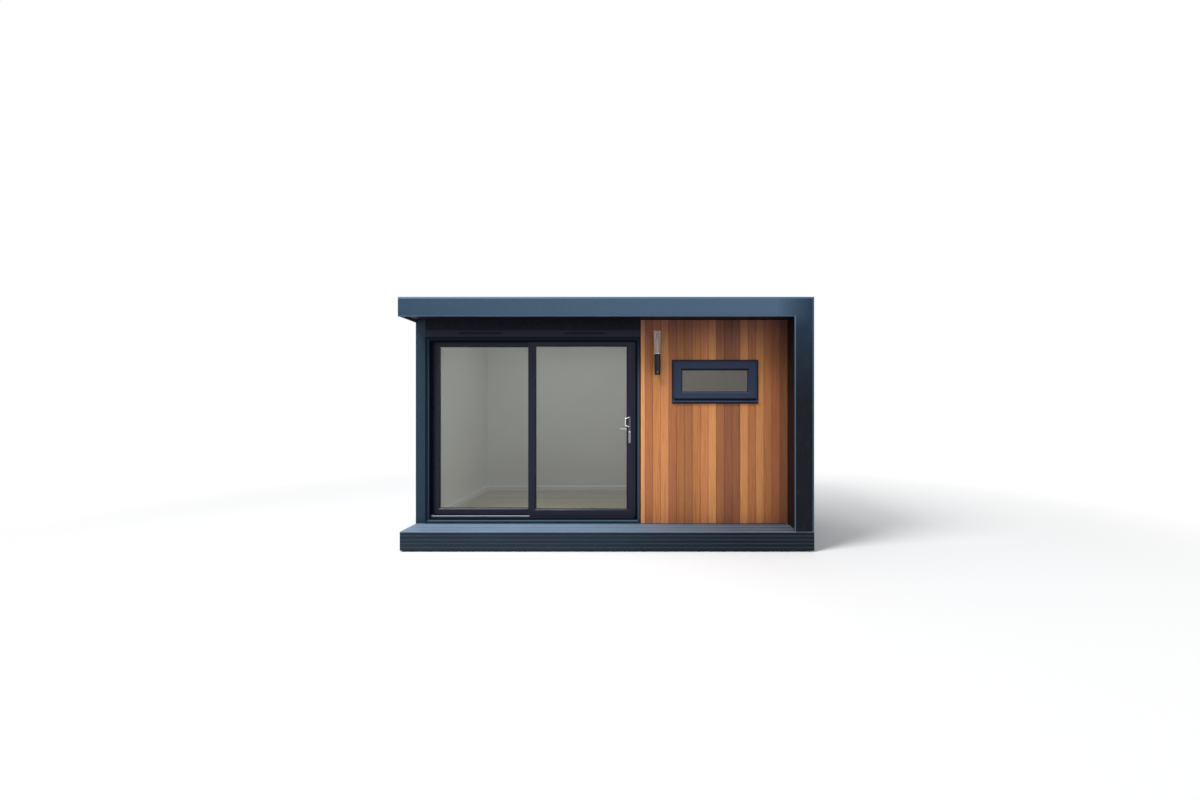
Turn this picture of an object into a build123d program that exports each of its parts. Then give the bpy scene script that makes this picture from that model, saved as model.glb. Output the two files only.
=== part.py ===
from build123d import *
import os

# Garden office pod: a flat-roofed, insulated timber-frame room on a decked base, with a two-leaf
# sliding patio door, a cedar-clad bay with a small window, and a canopy framed by a wide metal trim.
# Millimetres, +X right, +Y to the back, +Z up. The origin is at ground level, under the middle of
# the overall box. The front of the canopy faces -Y.

os.makedirs("parts", exist_ok=True)

# Overall form
overall_width = 4287
overall_height = 2627
canopy_depth = 430
body_depth = 2600
trim_projection = 20  # how far the roof trims stand out from the walls

# Base
pad_height = 40
pad_radius = 80
pad_bevel = 8
pad_rows = 3
pad_columns = 5
joist_height = 142
joist_width = 47
joist_count = 9
board_thickness = 25
deck_board_count = 3
deck_board_gap = 5
deck_board_rounding = 6
skirt_thickness = 20
skirt_ground_gap = 12
skirt_groove_pitch = 40
skirt_first_groove = 12  # below the top edge
skirt_groove_width = 6
skirt_groove_depth = 3
floor_finish_thickness = 12

# Walls and roof
wall_thickness = 100
wing_thickness = 154
lining_thickness = 12
soffit_thickness = 12
soffit_rise = 26  # the soffit sits this far above the lower edge of the trim
trim_face = 202
trim_thickness = 25
trim_bevel_width = 12
trim_bevel_depth = 5
trim_top_bevel_width = 18
trim_top_bevel_depth = 6
trim_cap_width = 70
trim_cap_thickness = 3
corner_trim_leg = 60
corner_trim_thickness = 3
joint_cover_width = 50
side_panels = 3
rear_panels = 4
roof_front_thickness = 120
roof_fall = 50
membrane_thickness = 4
membrane_kerb = 30
membrane_kerb_width = 15
membrane_drip = 12
skirting_height = 70
skirting_thickness = 15
skirting_top_thickness = 5
skirting_shoulder = 14
skirting_door_gap = 12

# Cladding and window
cladding_thickness = 20
cladding_gap = 4
window_left_from_door = 350
window_width = 941
window_height = 476
window_head_below_soffit = 445
window_frame_face = 45
window_frame_depth = 70
window_projection = 10
window_sash_inset = 24
window_sash_face = 84
window_sash_lip = 6
window_glass_rebate = 12
window_glass_thickness = 24
window_glass_setback = 14
window_sash_body = 50
window_sash_bevel_depth = 2
window_sash_bevel_width = 15
window_reveal_thickness = 12
window_foot = 20  # the frame's lower member is wider than the others by this
weather_bar_projection = 10
weather_bar_top = 36  # above the underside of the window frame
weather_bar_nose = 20
weather_bar_drip = 8

# Patio door, which fills the front between the left corner and the bay
bay_width = 1674  # wall to the right of the door
header_height = 127  # wall over the head of the door, up to the roof
frame_depth = 124
frame_face = 42
frame_web = 18
frame_flange = 8
frame_bevel_depth = 6
frame_bevel_width = 16
extender_height = 73
extender_depth = 70
vent_length = 464
vent_height = 20
vent_projection = 12
vent_offset = 575
vent_rise = 38  # middle of the vents above the frame
sash_depth = 40
sash_face = 68
sash_rise = 87  # lower edge of both sashes above the underside of the frame
sash_drop = 32  # upper edge of both sashes below the top of the frame
sash_bevel = 10
sash_leg = 3
sash_leg_inset = 5
sash_leg_drop = 18
sash_leg_clearance = 8
sliding_sash_from_right = 81.5
sliding_sash_past_middle = 40.2
fixed_sash_from_left = 63.5
fixed_sash_past_middle = 11.5
glass_thickness = 24
glass_rebate = 12
interlock_width = 14
interlock_fin = 6
interlock_reach = 13
running_clearance = 5
seat_clearance = 0.3
rail_head_width = 10
rail_head_height = 10
rail_web = 5
rail_pedestal_width = 30
rail_pedestal_height = 40
rail_gap = 4  # between the outer rail and the underside of the sliding sash
roller_radius = 14
roller_width = 10
roller_pocket_length = 70
roller_from_end = 150

# Door handles
handle_height = 1035  # above the deck
handle_from_edge = 37.6
plate_width = 26
plate_length = 300
plate_thickness = 9
plate_bevel = 2
grip_diameter = 14
grip_length = 106
grip_post = 18  # straight stretch of each end before the bend
grip_offset = 44
grip_reach = 46
lock_radius = 9
lock_below_centre = 24
lock_projection = 4.5
lever_above_centre = 6
lever_length = 112
lever_hub_radius = 12
lever_hub_length = 22
lever_thickness = 8
lever_root = 16
lever_tip = 9

# Wall lamp
lamp_from_cladding_edge = 182.5
lamp_below_soffit = 129  # top of the glass tube
lamp_body_height = 228
lamp_body_radius = 33
lamp_body_waist = 29
lamp_reach = 62
lamp_plate_width = 50
lamp_plate_height = 110
lamp_plate_thickness = 14
lamp_arm_width = 24
lamp_tube_height = 245
lamp_tube_radius = 37
lamp_tube_wall = 4
lamp_collar_radius = 40
lamp_collar_height = 8
sensor_radius = 11
sensor_rise = 30  # above the foot of the lamp
sensor_projection = 6

# Rear gutter and downpipe
rear_trim_thickness = 20
gutter_width = 100
gutter_height = 75
gutter_wall = 3
gutter_rounding = 22
gutter_drop = 20  # rim of the gutter below the roof's rear edge
pipe_radius = 34
pipe_wall = 3
pipe_from_side = 120
pipe_ground_gap = 60
pipe_bracket_thickness = 4
pipe_bracket_width = 40
pipe_bracket_height = 30
pipe_bracket_low = 500
pipe_bracket_high = 1900

# Levels and lines worked out from the sizes above
half_width = overall_width / 2
wall_x = half_width - trim_projection
inner_x = wall_x - wall_thickness
lining_x = inner_x - lining_thickness
overall_depth = canopy_depth + body_depth + rear_trim_thickness + gutter_width
front_y = -overall_depth / 2
wall_y = front_y + canopy_depth
rear_y = wall_y + body_depth
room_front_y = wall_y + wall_thickness
room_rear_y = rear_y - wall_thickness
frame_rear_y = wall_y + frame_depth
joist_top = pad_height + joist_height
deck_top = joist_top + board_thickness
floor_top = deck_top + floor_finish_thickness
trim_bottom = overall_height - trim_face
soffit_bottom = trim_bottom + soffit_rise
roof_bottom = soffit_bottom + soffit_thickness
roof_front_top = roof_bottom + roof_front_thickness
roof_rear_top = roof_front_top - roof_fall
door_left = -inner_x + corner_trim_thickness
door_right = inner_x - bay_width
door_middle = (door_left + door_right) / 2
extender_top = roof_bottom - header_height
door_top = extender_top - extender_height
sash_bottom = deck_top + sash_rise
sash_top = door_top - sash_drop
window_left = door_right + window_left_from_door
window_right = window_left + window_width
window_top = soffit_bottom - window_head_below_soffit
window_bottom = window_top - window_height
cladding_y = wall_y - cladding_thickness
cladding_left = door_right + cladding_gap
wing_x = wall_x - wing_thickness


def save(piece, name):
    """Label a finished piece and write it as its own file."""
    piece.part.label = name
    export_step(piece.part, f"parts/{name}.step")


def block(x_range, y_range, z_range):
    """A rectangular piece of the active part, between two limits on each axis."""
    with BuildSketch(Plane.XY.offset(z_range[0])) as outline:
        with Locations(((x_range[0] + x_range[1]) / 2, (y_range[0] + y_range[1]) / 2)):
            Rectangle(x_range[1] - x_range[0], y_range[1] - y_range[0])
    extrude(outline.sketch, amount=z_range[1] - z_range[0])


def window_cut(y_range, margin=0):
    """Cut the window opening through the active part, larger all round by the margin."""
    with BuildSketch(Plane.XZ.offset(-y_range[0])) as outline:
        with Locations(((window_left + window_right) / 2, (window_top + window_bottom) / 2)):
            Rectangle(window_width + 2 * margin, window_height + 2 * margin)
    extrude(outline.sketch, amount=-(y_range[1] - y_range[0]), mode=Mode.SUBTRACT)


def mitred_ring(x_range, y, z_range, section):
    """Sweep a section round an upright rectangle; its points are (depth, distance inward)."""
    x_middle = (x_range[0] + x_range[1]) / 2
    with BuildLine(Plane.XZ.offset(-y)) as route:
        Polyline(
            (x_middle, z_range[0]),
            (x_range[1], z_range[0]),
            (x_range[1], z_range[1]),
            (x_range[0], z_range[1]),
            (x_range[0], z_range[0]),
            (x_middle, z_range[0]),
        )
    with BuildSketch(Plane(origin=(x_middle, y, z_range[0]), x_dir=(0, 1, 0), z_dir=(1, 0, 0))) as profile:
        with BuildLine():
            Polyline(*section, close=True)
        make_face()
    sweep(profile.sketch, path=route.wires()[0], transition=Transition.RIGHT)


# Foundation pads, a round pedestal under the joists at each point of a grid
pad_span_x = 2 * wall_x - 2 * (skirt_thickness + pad_radius)
pad_span_y = canopy_depth + body_depth - 2 * (skirt_thickness + pad_radius)
base_middle_y = (front_y + rear_y) / 2
with BuildPart() as foundation_pads:
    with BuildSketch(Plane.XY):
        with Locations((0, base_middle_y)):
            with GridLocations(pad_span_x / (pad_columns - 1), pad_span_y / (pad_rows - 1),
                               pad_columns, pad_rows):
                Circle(pad_radius)
    extrude(amount=pad_height)
    chamfer(foundation_pads.faces().group_by(Axis.Z)[-1].edges(), length=pad_bevel)
save(foundation_pads, "foundation_pads")

# Joists running front to back, closed by a rim joist at each end
rim_x = wall_x - skirt_thickness
joist_span = 2 * rim_x - joist_width
with BuildPart() as floor_joists:
    with BuildSketch(Plane.XY.offset(pad_height)):
        with Locations((0, base_middle_y)):
            with GridLocations(joist_span / (joist_count - 1), 1, joist_count, 1):
                Rectangle(joist_width, rear_y - front_y - 2 * (skirt_thickness + joist_width))
    extrude(amount=joist_height)
save(floor_joists, "floor_joists")

with BuildPart() as rim_joists:
    with BuildSketch(Plane.XY.offset(pad_height)):
        with Locations((0, base_middle_y)):
            with GridLocations(1, rear_y - front_y - 2 * skirt_thickness - joist_width, 1, 2):
                Rectangle(2 * rim_x, joist_width)
    extrude(amount=joist_height)
save(rim_joists, "rim_joists")

# Deck boards along the canopy, with rounded long edges
deck_board_width = canopy_depth / deck_board_count - deck_board_gap
with BuildPart() as deck_boards:
    with BuildSketch(Plane.YZ.offset(-wall_x)):
        for index in range(deck_board_count):
            board_y = front_y + index * (deck_board_width + deck_board_gap)
            with Locations((board_y + deck_board_width / 2, joist_top + board_thickness / 2)):
                RectangleRounded(deck_board_width, board_thickness, deck_board_rounding)
    extrude(amount=wall_x + half_width)
save(deck_boards, "deck_boards")

# Structural floor under the room and the boards laid on it
with BuildPart() as floor_deck:
    block((-wall_x, wall_x), (wall_y, rear_y), (joist_top, deck_top))
save(floor_deck, "floor_deck")

with BuildPart() as floor_finish:
    with BuildSketch(Plane.XY.offset(deck_top)):
        with BuildLine():
            Polyline(
                (-lining_x, frame_rear_y),
                (door_right, frame_rear_y),
                (door_right, room_front_y + lining_thickness),
                (lining_x, room_front_y + lining_thickness),
                (lining_x, room_rear_y - lining_thickness),
                (-lining_x, room_rear_y - lining_thickness),
                close=True,
            )
        make_face()
    extrude(amount=floor_finish_thickness)
save(floor_finish, "floor_finish")


def skirt_section(plane, length):
    """A grooved skirting board: its outer face is on the plane's origin line, grooves run along it."""
    height = joist_top - skirt_ground_gap
    with BuildSketch(plane) as profile:
        with Locations((skirt_thickness / 2, height / 2)):
            Rectangle(skirt_thickness, height)
        for index in range(int((height - skirt_groove_width) // skirt_groove_pitch)):
            groove_z = height - skirt_first_groove - index * skirt_groove_pitch
            with BuildLine():
                Polyline(
                    (0, groove_z - skirt_groove_width / 2),
                    (skirt_groove_depth, groove_z),
                    (0, groove_z + skirt_groove_width / 2),
                    close=True,
                )
            make_face(mode=Mode.SUBTRACT)
    extrude(profile.sketch, amount=length)


with BuildPart() as front_skirt:
    skirt_section(Plane(origin=(-wall_x, front_y, skirt_ground_gap), x_dir=(0, 1, 0), z_dir=(1, 0, 0)),
                  wall_x + half_width)
save(front_skirt, "front_skirt")

side_skirt_length = rear_y - front_y - 2 * skirt_thickness
with BuildPart() as side_skirts:
    skirt_section(Plane(origin=(-wall_x, rear_y - skirt_thickness, skirt_ground_gap),
                        x_dir=(1, 0, 0), z_dir=(0, -1, 0)), side_skirt_length)
    skirt_section(Plane(origin=(wall_x, front_y + skirt_thickness, skirt_ground_gap),
                        x_dir=(-1, 0, 0), z_dir=(0, 1, 0)), side_skirt_length)
save(side_skirts, "side_skirts")

with BuildPart() as rear_skirt:
    skirt_section(Plane(origin=(wall_x, rear_y, skirt_ground_gap), x_dir=(0, -1, 0), z_dir=(-1, 0, 0)),
                  2 * wall_x)
save(rear_skirt, "rear_skirt")

# Insulated walls
with BuildPart() as side_walls:
    block((-wall_x, -inner_x), (wall_y + corner_trim_thickness, rear_y), (deck_top, roof_bottom))
    block((inner_x, wall_x), (wall_y, rear_y), (deck_top, roof_bottom))
save(side_walls, "side_walls")

with BuildPart() as rear_wall:
    block((-inner_x, inner_x), (room_rear_y, rear_y), (deck_top, roof_bottom))
save(rear_wall, "rear_wall")

with BuildPart() as front_wall:
    block((door_right, inner_x), (wall_y, room_front_y), (deck_top, roof_bottom))
    window_cut((wall_y, room_front_y), window_reveal_thickness)
save(front_wall, "front_wall")

with BuildPart() as door_header:
    block((door_left, door_right), (wall_y, room_front_y), (extender_top, roof_bottom))
save(door_header, "door_header")

# Wing wall that carries the canopy at its right end
with BuildPart() as wing_wall:
    block((wing_x, wall_x), (front_y + trim_thickness, wall_y), (deck_top, soffit_bottom))
save(wing_wall, "wing_wall")


def corner_trim(x_corner, y_corner, x_turn, y_turn, x_leg):
    """A folded angle over an outer wall corner; the turns are +1 or -1 towards the wall."""
    with BuildSketch(Plane.XY.offset(deck_top)) as profile:
        with BuildLine():
            Polyline(
                (x_corner - x_turn * corner_trim_thickness, y_corner),
                (x_corner + x_turn * x_leg, y_corner),
                (x_corner + x_turn * x_leg, y_corner + y_turn * corner_trim_thickness),
                (x_corner, y_corner + y_turn * corner_trim_thickness),
                (x_corner, y_corner + y_turn * corner_trim_leg),
                (x_corner - x_turn * corner_trim_thickness, y_corner + y_turn * corner_trim_leg),
                close=True,
            )
        make_face()
    extrude(profile.sketch, amount=trim_bottom - deck_top)


with BuildPart() as corner_trims:
    corner_trim(-wall_x, wall_y, 1, 1, wall_thickness + corner_trim_thickness)
    for side in (-1, 1):
        corner_trim(side * wall_x, rear_y + corner_trim_thickness, -side, -1, corner_trim_leg)
save(corner_trims, "corner_trims")

# Flat covers over the upright joints between the wall panels
side_panel_width = body_depth / side_panels
rear_panel_width = 2 * wall_x / rear_panels
with BuildPart() as joint_covers:
    for index in range(1, side_panels):
        joint_y = wall_y + index * side_panel_width
        for side in (-1, 1):
            inner, outer = sorted((side * wall_x, side * (wall_x + corner_trim_thickness)))
            block((inner, outer), (joint_y - joint_cover_width / 2, joint_y + joint_cover_width / 2),
                  (deck_top, trim_bottom))
    for index in range(1, rear_panels):
        joint_x = -wall_x + index * rear_panel_width
        block((joint_x - joint_cover_width / 2, joint_x + joint_cover_width / 2),
              (rear_y, rear_y + corner_trim_thickness), (deck_top, trim_bottom))
save(joint_covers, "joint_covers")

# Cedar cladding, one plain skin with the window opening in it
with BuildPart() as cedar_cladding:
    block((cladding_left, wing_x), (cladding_y, wall_y), (deck_top, soffit_bottom))
    window_cut((cladding_y, wall_y), seat_clearance)
save(cedar_cladding, "cedar_cladding")

# Linings, ceiling and skirting board of the room
with BuildPart() as side_linings:
    block((-inner_x, -lining_x), (frame_rear_y, room_rear_y - lining_thickness), (deck_top, soffit_bottom))
    block((lining_x, inner_x), (room_front_y, room_rear_y - lining_thickness), (deck_top, soffit_bottom))
save(side_linings, "side_linings")

with BuildPart() as rear_lining:
    block((-inner_x, inner_x), (room_rear_y - lining_thickness, room_rear_y), (deck_top, soffit_bottom))
save(rear_lining, "rear_lining")

with BuildPart() as header_lining:
    block((-inner_x, door_right), (room_front_y, room_front_y + lining_thickness), (extender_top, soffit_bottom))
save(header_lining, "header_lining")

with BuildPart() as front_lining:
    block((door_right, lining_x), (room_front_y, room_front_y + lining_thickness), (deck_top, soffit_bottom))
    window_cut((room_front_y, room_front_y + lining_thickness), window_reveal_thickness)
save(front_lining, "front_lining")

with BuildPart() as ceiling:
    block((-inner_x, inner_x), (room_front_y, room_rear_y), (soffit_bottom, roof_bottom))
save(ceiling, "ceiling")

with BuildPart() as skirting_board:
    with BuildLine(Plane.XY.offset(floor_top)) as skirting_route:
        Polyline(
            (door_right + skirting_door_gap, room_front_y + lining_thickness),
            (lining_x, room_front_y + lining_thickness),
            (lining_x, room_rear_y - lining_thickness),
            (-lining_x, room_rear_y - lining_thickness),
            (-lining_x, frame_rear_y + skirting_door_gap),
        )
    with BuildSketch(Plane(origin=skirting_route.wires()[0] @ 0, x_dir=(0, 1, 0), z_dir=(1, 0, 0))):
        with BuildLine():
            Polyline((0, 0), (skirting_thickness, 0), (skirting_thickness, skirting_height - skirting_shoulder),
                     (skirting_top_thickness, skirting_height), (0, skirting_height), close=True)
        make_face()
    sweep(path=skirting_route.wires()[0], transition=Transition.RIGHT)
save(skirting_board, "skirting_board")

# Roof: a panel with a fall to the back, and a membrane dressed up behind the trims
roof_front_y = front_y + trim_thickness
with BuildPart() as roof_panel:
    with BuildSketch(Plane.YZ.offset(-wall_x)):
        with BuildLine():
            Polyline((roof_front_y, roof_bottom), (rear_y, roof_bottom), (rear_y, roof_rear_top),
                     (roof_front_y, roof_front_top), close=True)
        make_face()
    extrude(amount=2 * wall_x)
save(roof_panel, "roof_panel")

with BuildPart() as roof_membrane:
    with BuildSketch(Plane.YZ.offset(-wall_x)):
        with BuildLine():
            Polyline((roof_front_y, roof_front_top), (rear_y + rear_trim_thickness, roof_rear_top),
                     (rear_y + rear_trim_thickness + membrane_drip, roof_rear_top - membrane_drip),
                     (rear_y + rear_trim_thickness + membrane_drip, roof_rear_top + membrane_thickness),
                     (roof_front_y, roof_front_top + membrane_thickness), close=True)
        make_face()
    extrude(amount=2 * wall_x)
    for side in (-1, 1):
        with BuildSketch(Plane.YZ.offset(side * wall_x)):
            with BuildLine():
                Polyline((roof_front_y, roof_front_top), (rear_y, roof_rear_top),
                         (rear_y, roof_rear_top + membrane_kerb),
                         (roof_front_y, roof_front_top + membrane_kerb), close=True)
            make_face()
        extrude(amount=-side * membrane_kerb_width)
    block((-wall_x, wall_x), (roof_front_y, roof_front_y + membrane_kerb_width),
          (roof_front_top, roof_front_top + membrane_kerb))
save(roof_membrane, "roof_membrane")

with BuildPart() as soffit:
    block((-wall_x, wall_x), (front_y + trim_thickness, wall_y), (soffit_bottom, roof_bottom))
save(soffit, "soffit")

# Wide metal trim over the canopy and down its right end, mitred at the corner
mitre_plane = Plane(origin=(half_width, 0, overall_height), x_dir=(0, 1, 0), z_dir=(1, 0, -1))
with BuildPart() as front_trim:
    with BuildLine(Plane.XZ.offset(-front_y)) as trim_route:
        Polyline((-half_width, overall_height), (half_width, overall_height), (half_width, deck_top))
    with BuildSketch(Plane(origin=(-half_width, front_y, overall_height), x_dir=(0, 1, 0),
                           z_dir=(-1, 0, 0))):
        with BuildLine():
            Polyline(
                (trim_top_bevel_depth, 0),
                (trim_thickness, 0),
                (trim_thickness, trim_face),
                (trim_bevel_depth, trim_face),
                (0, trim_face - trim_bevel_width),
                (0, trim_top_bevel_width),
                close=True,
            )
        make_face()
    sweep(path=trim_route.wires()[0], transition=Transition.RIGHT)

with BuildPart() as front_fascia:
    add(front_trim.part)
    split(bisect_by=mitre_plane, keep=Keep.BOTTOM)
save(front_fascia, "front_fascia")

with BuildPart() as leg_trim:
    add(front_trim.part)
    split(bisect_by=mitre_plane, keep=Keep.TOP)
save(leg_trim, "leg_trim")


def side_fascia(side):
    """The side trim, with a flat cap turned in over the kerb of the roof."""
    start = Plane(origin=(side * half_width, front_y + trim_thickness, trim_bottom),
                  x_dir=(-side, 0, 0), z_dir=(0, side, 0))
    with BuildSketch(start) as profile:
        with BuildLine():
            Polyline(
                (0, trim_bevel_width),
                (trim_bevel_depth, 0),
                (trim_projection, 0),
                (trim_projection, trim_face - trim_cap_thickness),
                (trim_cap_width, trim_face - trim_cap_thickness),
                (trim_cap_width, trim_face),
                (0, trim_face),
                close=True,
            )
        make_face()
    extrude(profile.sketch, amount=side * (rear_y + rear_trim_thickness - front_y - trim_thickness))


with BuildPart() as side_fascias:
    for side in (-1, 1):
        side_fascia(side)
save(side_fascias, "side_fascias")

with BuildPart() as rear_fascia:
    block((-wall_x, wall_x), (rear_y, rear_y + rear_trim_thickness), (trim_bottom, roof_rear_top))
save(rear_fascia, "rear_fascia")

# Gutter along the back and the downpipe at its right end
gutter_top = roof_rear_top - gutter_drop
gutter_front_y = rear_y + rear_trim_thickness
pipe_x = wall_x - pipe_from_side
pipe_y = gutter_front_y + gutter_width / 2
with BuildPart() as gutter:
    with BuildSketch(Plane.YZ.offset(-wall_x)):
        with Locations((pipe_y, gutter_top - gutter_height / 2)):
            Rectangle(gutter_width, gutter_height)
    extrude(amount=2 * wall_x)
    fillet(gutter.edges().filter_by(Axis.X).group_by(Axis.Z)[0], radius=gutter_rounding)
    offset(amount=-gutter_wall, openings=gutter.faces().sort_by(Axis.Z)[-1])
    with BuildSketch(Plane.XY.offset(gutter_top - gutter_height)):
        with Locations((pipe_x, pipe_y)):
            Circle(pipe_radius - pipe_wall)
    extrude(amount=gutter_height / 2, mode=Mode.SUBTRACT)
save(gutter, "gutter")

pipe_top = gutter_top - gutter_height
with BuildPart() as downpipe:
    with BuildSketch(Plane.XY.offset(pipe_ground_gap)):
        with Locations((pipe_x, pipe_y)):
            Circle(pipe_radius)
    extrude(amount=pipe_top - pipe_ground_gap)
    for bracket_z in (pipe_bracket_low, pipe_bracket_high):
        with BuildSketch(Plane.XY.offset(bracket_z)):
            with Locations((pipe_x, pipe_y)):
                Circle(pipe_radius + pipe_bracket_thickness)
            with Locations((pipe_x, (rear_y + pipe_y) / 2)):
                Rectangle(pipe_bracket_width, pipe_y - rear_y)
        extrude(amount=pipe_bracket_height)
    with BuildSketch(Plane.XY.offset(pipe_ground_gap)):
        with Locations((pipe_x, pipe_y)):
            Circle(pipe_radius - pipe_wall)
    extrude(amount=pipe_top - pipe_ground_gap, mode=Mode.SUBTRACT)
save(downpipe, "downpipe")

# Outer frame of the patio door: one section with two channels, mitred round the opening
track_depth = (frame_depth - 3 * frame_flange) / 2
inner_track = frame_flange * 2 + track_depth
frame_section = (
    (0, 0),
    (frame_depth, 0),
    (frame_depth, frame_face),
    (frame_depth - frame_flange, frame_face),
    (frame_depth - frame_flange, frame_web),
    (inner_track, frame_web),
    (inner_track, frame_face),
    (inner_track - frame_flange, frame_face),
    (inner_track - frame_flange, frame_web),
    (frame_flange, frame_web),
    (frame_flange, frame_face),
    (frame_bevel_depth, frame_face),
    (0, frame_face - frame_bevel_width),
)
with BuildPart() as door_frame:
    mitred_ring((door_left, door_right), wall_y, (deck_top, door_top), frame_section)
save(door_frame, "door_frame")

# Head extender over the frame, with a hooded trickle vent over each leaf
vent_middle_z = door_top + vent_rise
with BuildPart() as head_extender:
    block((door_left, door_right), (wall_y, wall_y + extender_depth), (door_top, extender_top))
    for side in (-1, 1):
        vent_x = door_middle + side * vent_offset
        with BuildSketch(Plane.YZ.offset(vent_x - vent_length / 2)):
            with BuildLine():
                Polyline(
                    (wall_y, vent_middle_z - vent_height / 2),
                    (wall_y - vent_projection, vent_middle_z - vent_height / 2),
                    (wall_y - vent_projection, vent_middle_z),
                    (wall_y, vent_middle_z + vent_height / 2),
                    close=True,
                )
            make_face()
        extrude(amount=vent_length)
save(head_extender, "head_extender")

# Rails in the two channels of the sill: a pedestal, a slim web and a rounded head
sill_floor = deck_top + frame_web
outer_rail_y = wall_y + frame_flange + track_depth / 2
inner_rail_y = wall_y + inner_track + track_depth / 2
with BuildPart() as track_rails:
    for rail_y, rail_top in ((outer_rail_y, sash_bottom - rail_gap), (inner_rail_y, sash_bottom)):
        with BuildSketch(Plane.YZ.offset(door_left + frame_web)):
            with Locations((rail_y, sill_floor + rail_pedestal_height / 2)):
                Rectangle(rail_pedestal_width, rail_pedestal_height)
            with Locations((rail_y, (sill_floor + rail_top) / 2)):
                Rectangle(rail_web, rail_top - sill_floor - rail_head_height)
            with Locations((rail_y, rail_top - rail_head_height / 2)):
                Rectangle(rail_head_width, rail_head_height)
        extrude(amount=door_right - door_left - 2 * frame_web)
save(track_rails, "track_rails")

# The two leaves: a mitred sash with a bevelled inner edge and a deep rebate for the glass
glass_front = (sash_depth - glass_thickness) / 2
sash_section = (
    (0, 0),
    (sash_depth, 0),
    (sash_depth, sash_face - sash_bevel),
    (glass_front + glass_thickness, sash_face),
    (glass_front + glass_thickness, sash_face - glass_rebate),
    (glass_front, sash_face - glass_rebate),
    (glass_front, sash_face),
    (0, sash_face - sash_bevel),
)


def sash_edge_legs(x_range, front, reach):
    """Thin legs that run on past the sash edge into the channels of the frame, on given sides."""
    left, right, bottom = reach
    for leg_y in (front + sash_leg_inset, front + sash_depth - sash_leg_inset - sash_leg):
        if left:
            block((x_range[0] - left, x_range[0]), (leg_y, leg_y + sash_leg), (sash_bottom, sash_top))
        if right:
            block((x_range[1], x_range[1] + right), (leg_y, leg_y + sash_leg), (sash_bottom, sash_top))
        if bottom:
            block(x_range, (leg_y, leg_y + sash_leg), (sash_bottom - bottom, sash_bottom))


def glass_pane(x_range, front):
    """The sealed unit that fills the rebate of a sash."""
    inset = sash_face - glass_rebate
    block((x_range[0] + inset, x_range[1] - inset),
          (front + glass_front, front + glass_front + glass_thickness),
          (sash_bottom + inset, sash_top - inset))


sliding_right = door_right - sliding_sash_from_right
sliding_left = door_middle - sliding_sash_past_middle
sliding_y = wall_y + frame_flange + running_clearance
fixed_left = door_left + fixed_sash_from_left
fixed_right = door_middle + fixed_sash_past_middle
fixed_y = wall_y + inner_track + running_clearance

with BuildPart() as fixed_sash:
    mitred_ring((fixed_left, fixed_right), fixed_y, (sash_bottom, sash_top), sash_section)
    sash_edge_legs((fixed_left, fixed_right), fixed_y,
                   (fixed_sash_from_left - frame_web - sash_leg_clearance, 0, sash_leg_drop))
    fin_left = sliding_left - interlock_width + interlock_fin + running_clearance
    block((fin_left, fin_left + interlock_fin), (fixed_y - interlock_reach, fixed_y),
          (sash_bottom, sash_top - interlock_reach))
save(fixed_sash, "fixed_sash")

with BuildPart() as fixed_glass:
    glass_pane((fixed_left, fixed_right), fixed_y)
save(fixed_glass, "fixed_glass")

roller_z = sash_bottom - rail_gap + seat_clearance + roller_radius
roller_places = (sliding_left + roller_from_end, sliding_right - roller_from_end)
with BuildPart() as sliding_sash:
    mitred_ring((sliding_left, sliding_right), sliding_y, (sash_bottom, sash_top), sash_section)
    sash_edge_legs((sliding_left, sliding_right), sliding_y,
                   (0, sliding_sash_from_right - frame_web - sash_leg_clearance, sash_leg_drop))
    block((sliding_left - interlock_width, sliding_left), (sliding_y, sliding_y + sash_depth),
          (sash_bottom, sash_top))
    block((sliding_left - interlock_width, sliding_left - interlock_width + interlock_fin),
          (sliding_y + sash_depth, sliding_y + sash_depth + interlock_reach),
          (sash_bottom, sash_top - interlock_reach))
    for roller_x in roller_places:
        with BuildSketch(Plane.XY.offset(sash_bottom)):
            with Locations((roller_x, outer_rail_y)):
                Rectangle(roller_pocket_length, roller_width + 2 * running_clearance)
        extrude(amount=2 * roller_radius + running_clearance, mode=Mode.SUBTRACT)
save(sliding_sash, "sliding_sash")

with BuildPart() as sliding_glass:
    glass_pane((sliding_left, sliding_right), sliding_y)
save(sliding_glass, "sliding_glass")

# Roller carriages that fill the pockets of the sliding sash, each with a grooved wheel
with BuildPart() as door_rollers:
    for roller_x in roller_places:
        with BuildSketch(Plane.XY.offset(roller_z)):
            with Locations((roller_x, outer_rail_y)):
                Rectangle(roller_pocket_length, roller_width + 2 * running_clearance)
        extrude(amount=sash_bottom + 2 * roller_radius + running_clearance - roller_z)
        with BuildSketch(Plane.XZ.offset(-(outer_rail_y - roller_width / 2))):
            with Locations((roller_x, roller_z)):
                Circle(roller_radius)
        extrude(amount=-roller_width)
save(door_rollers, "door_rollers")

# Handles: a long plate with rounded ends and a cranked grip over its upper half
handle_x = sliding_right - handle_from_edge
handle_z = deck_top + handle_height


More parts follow.
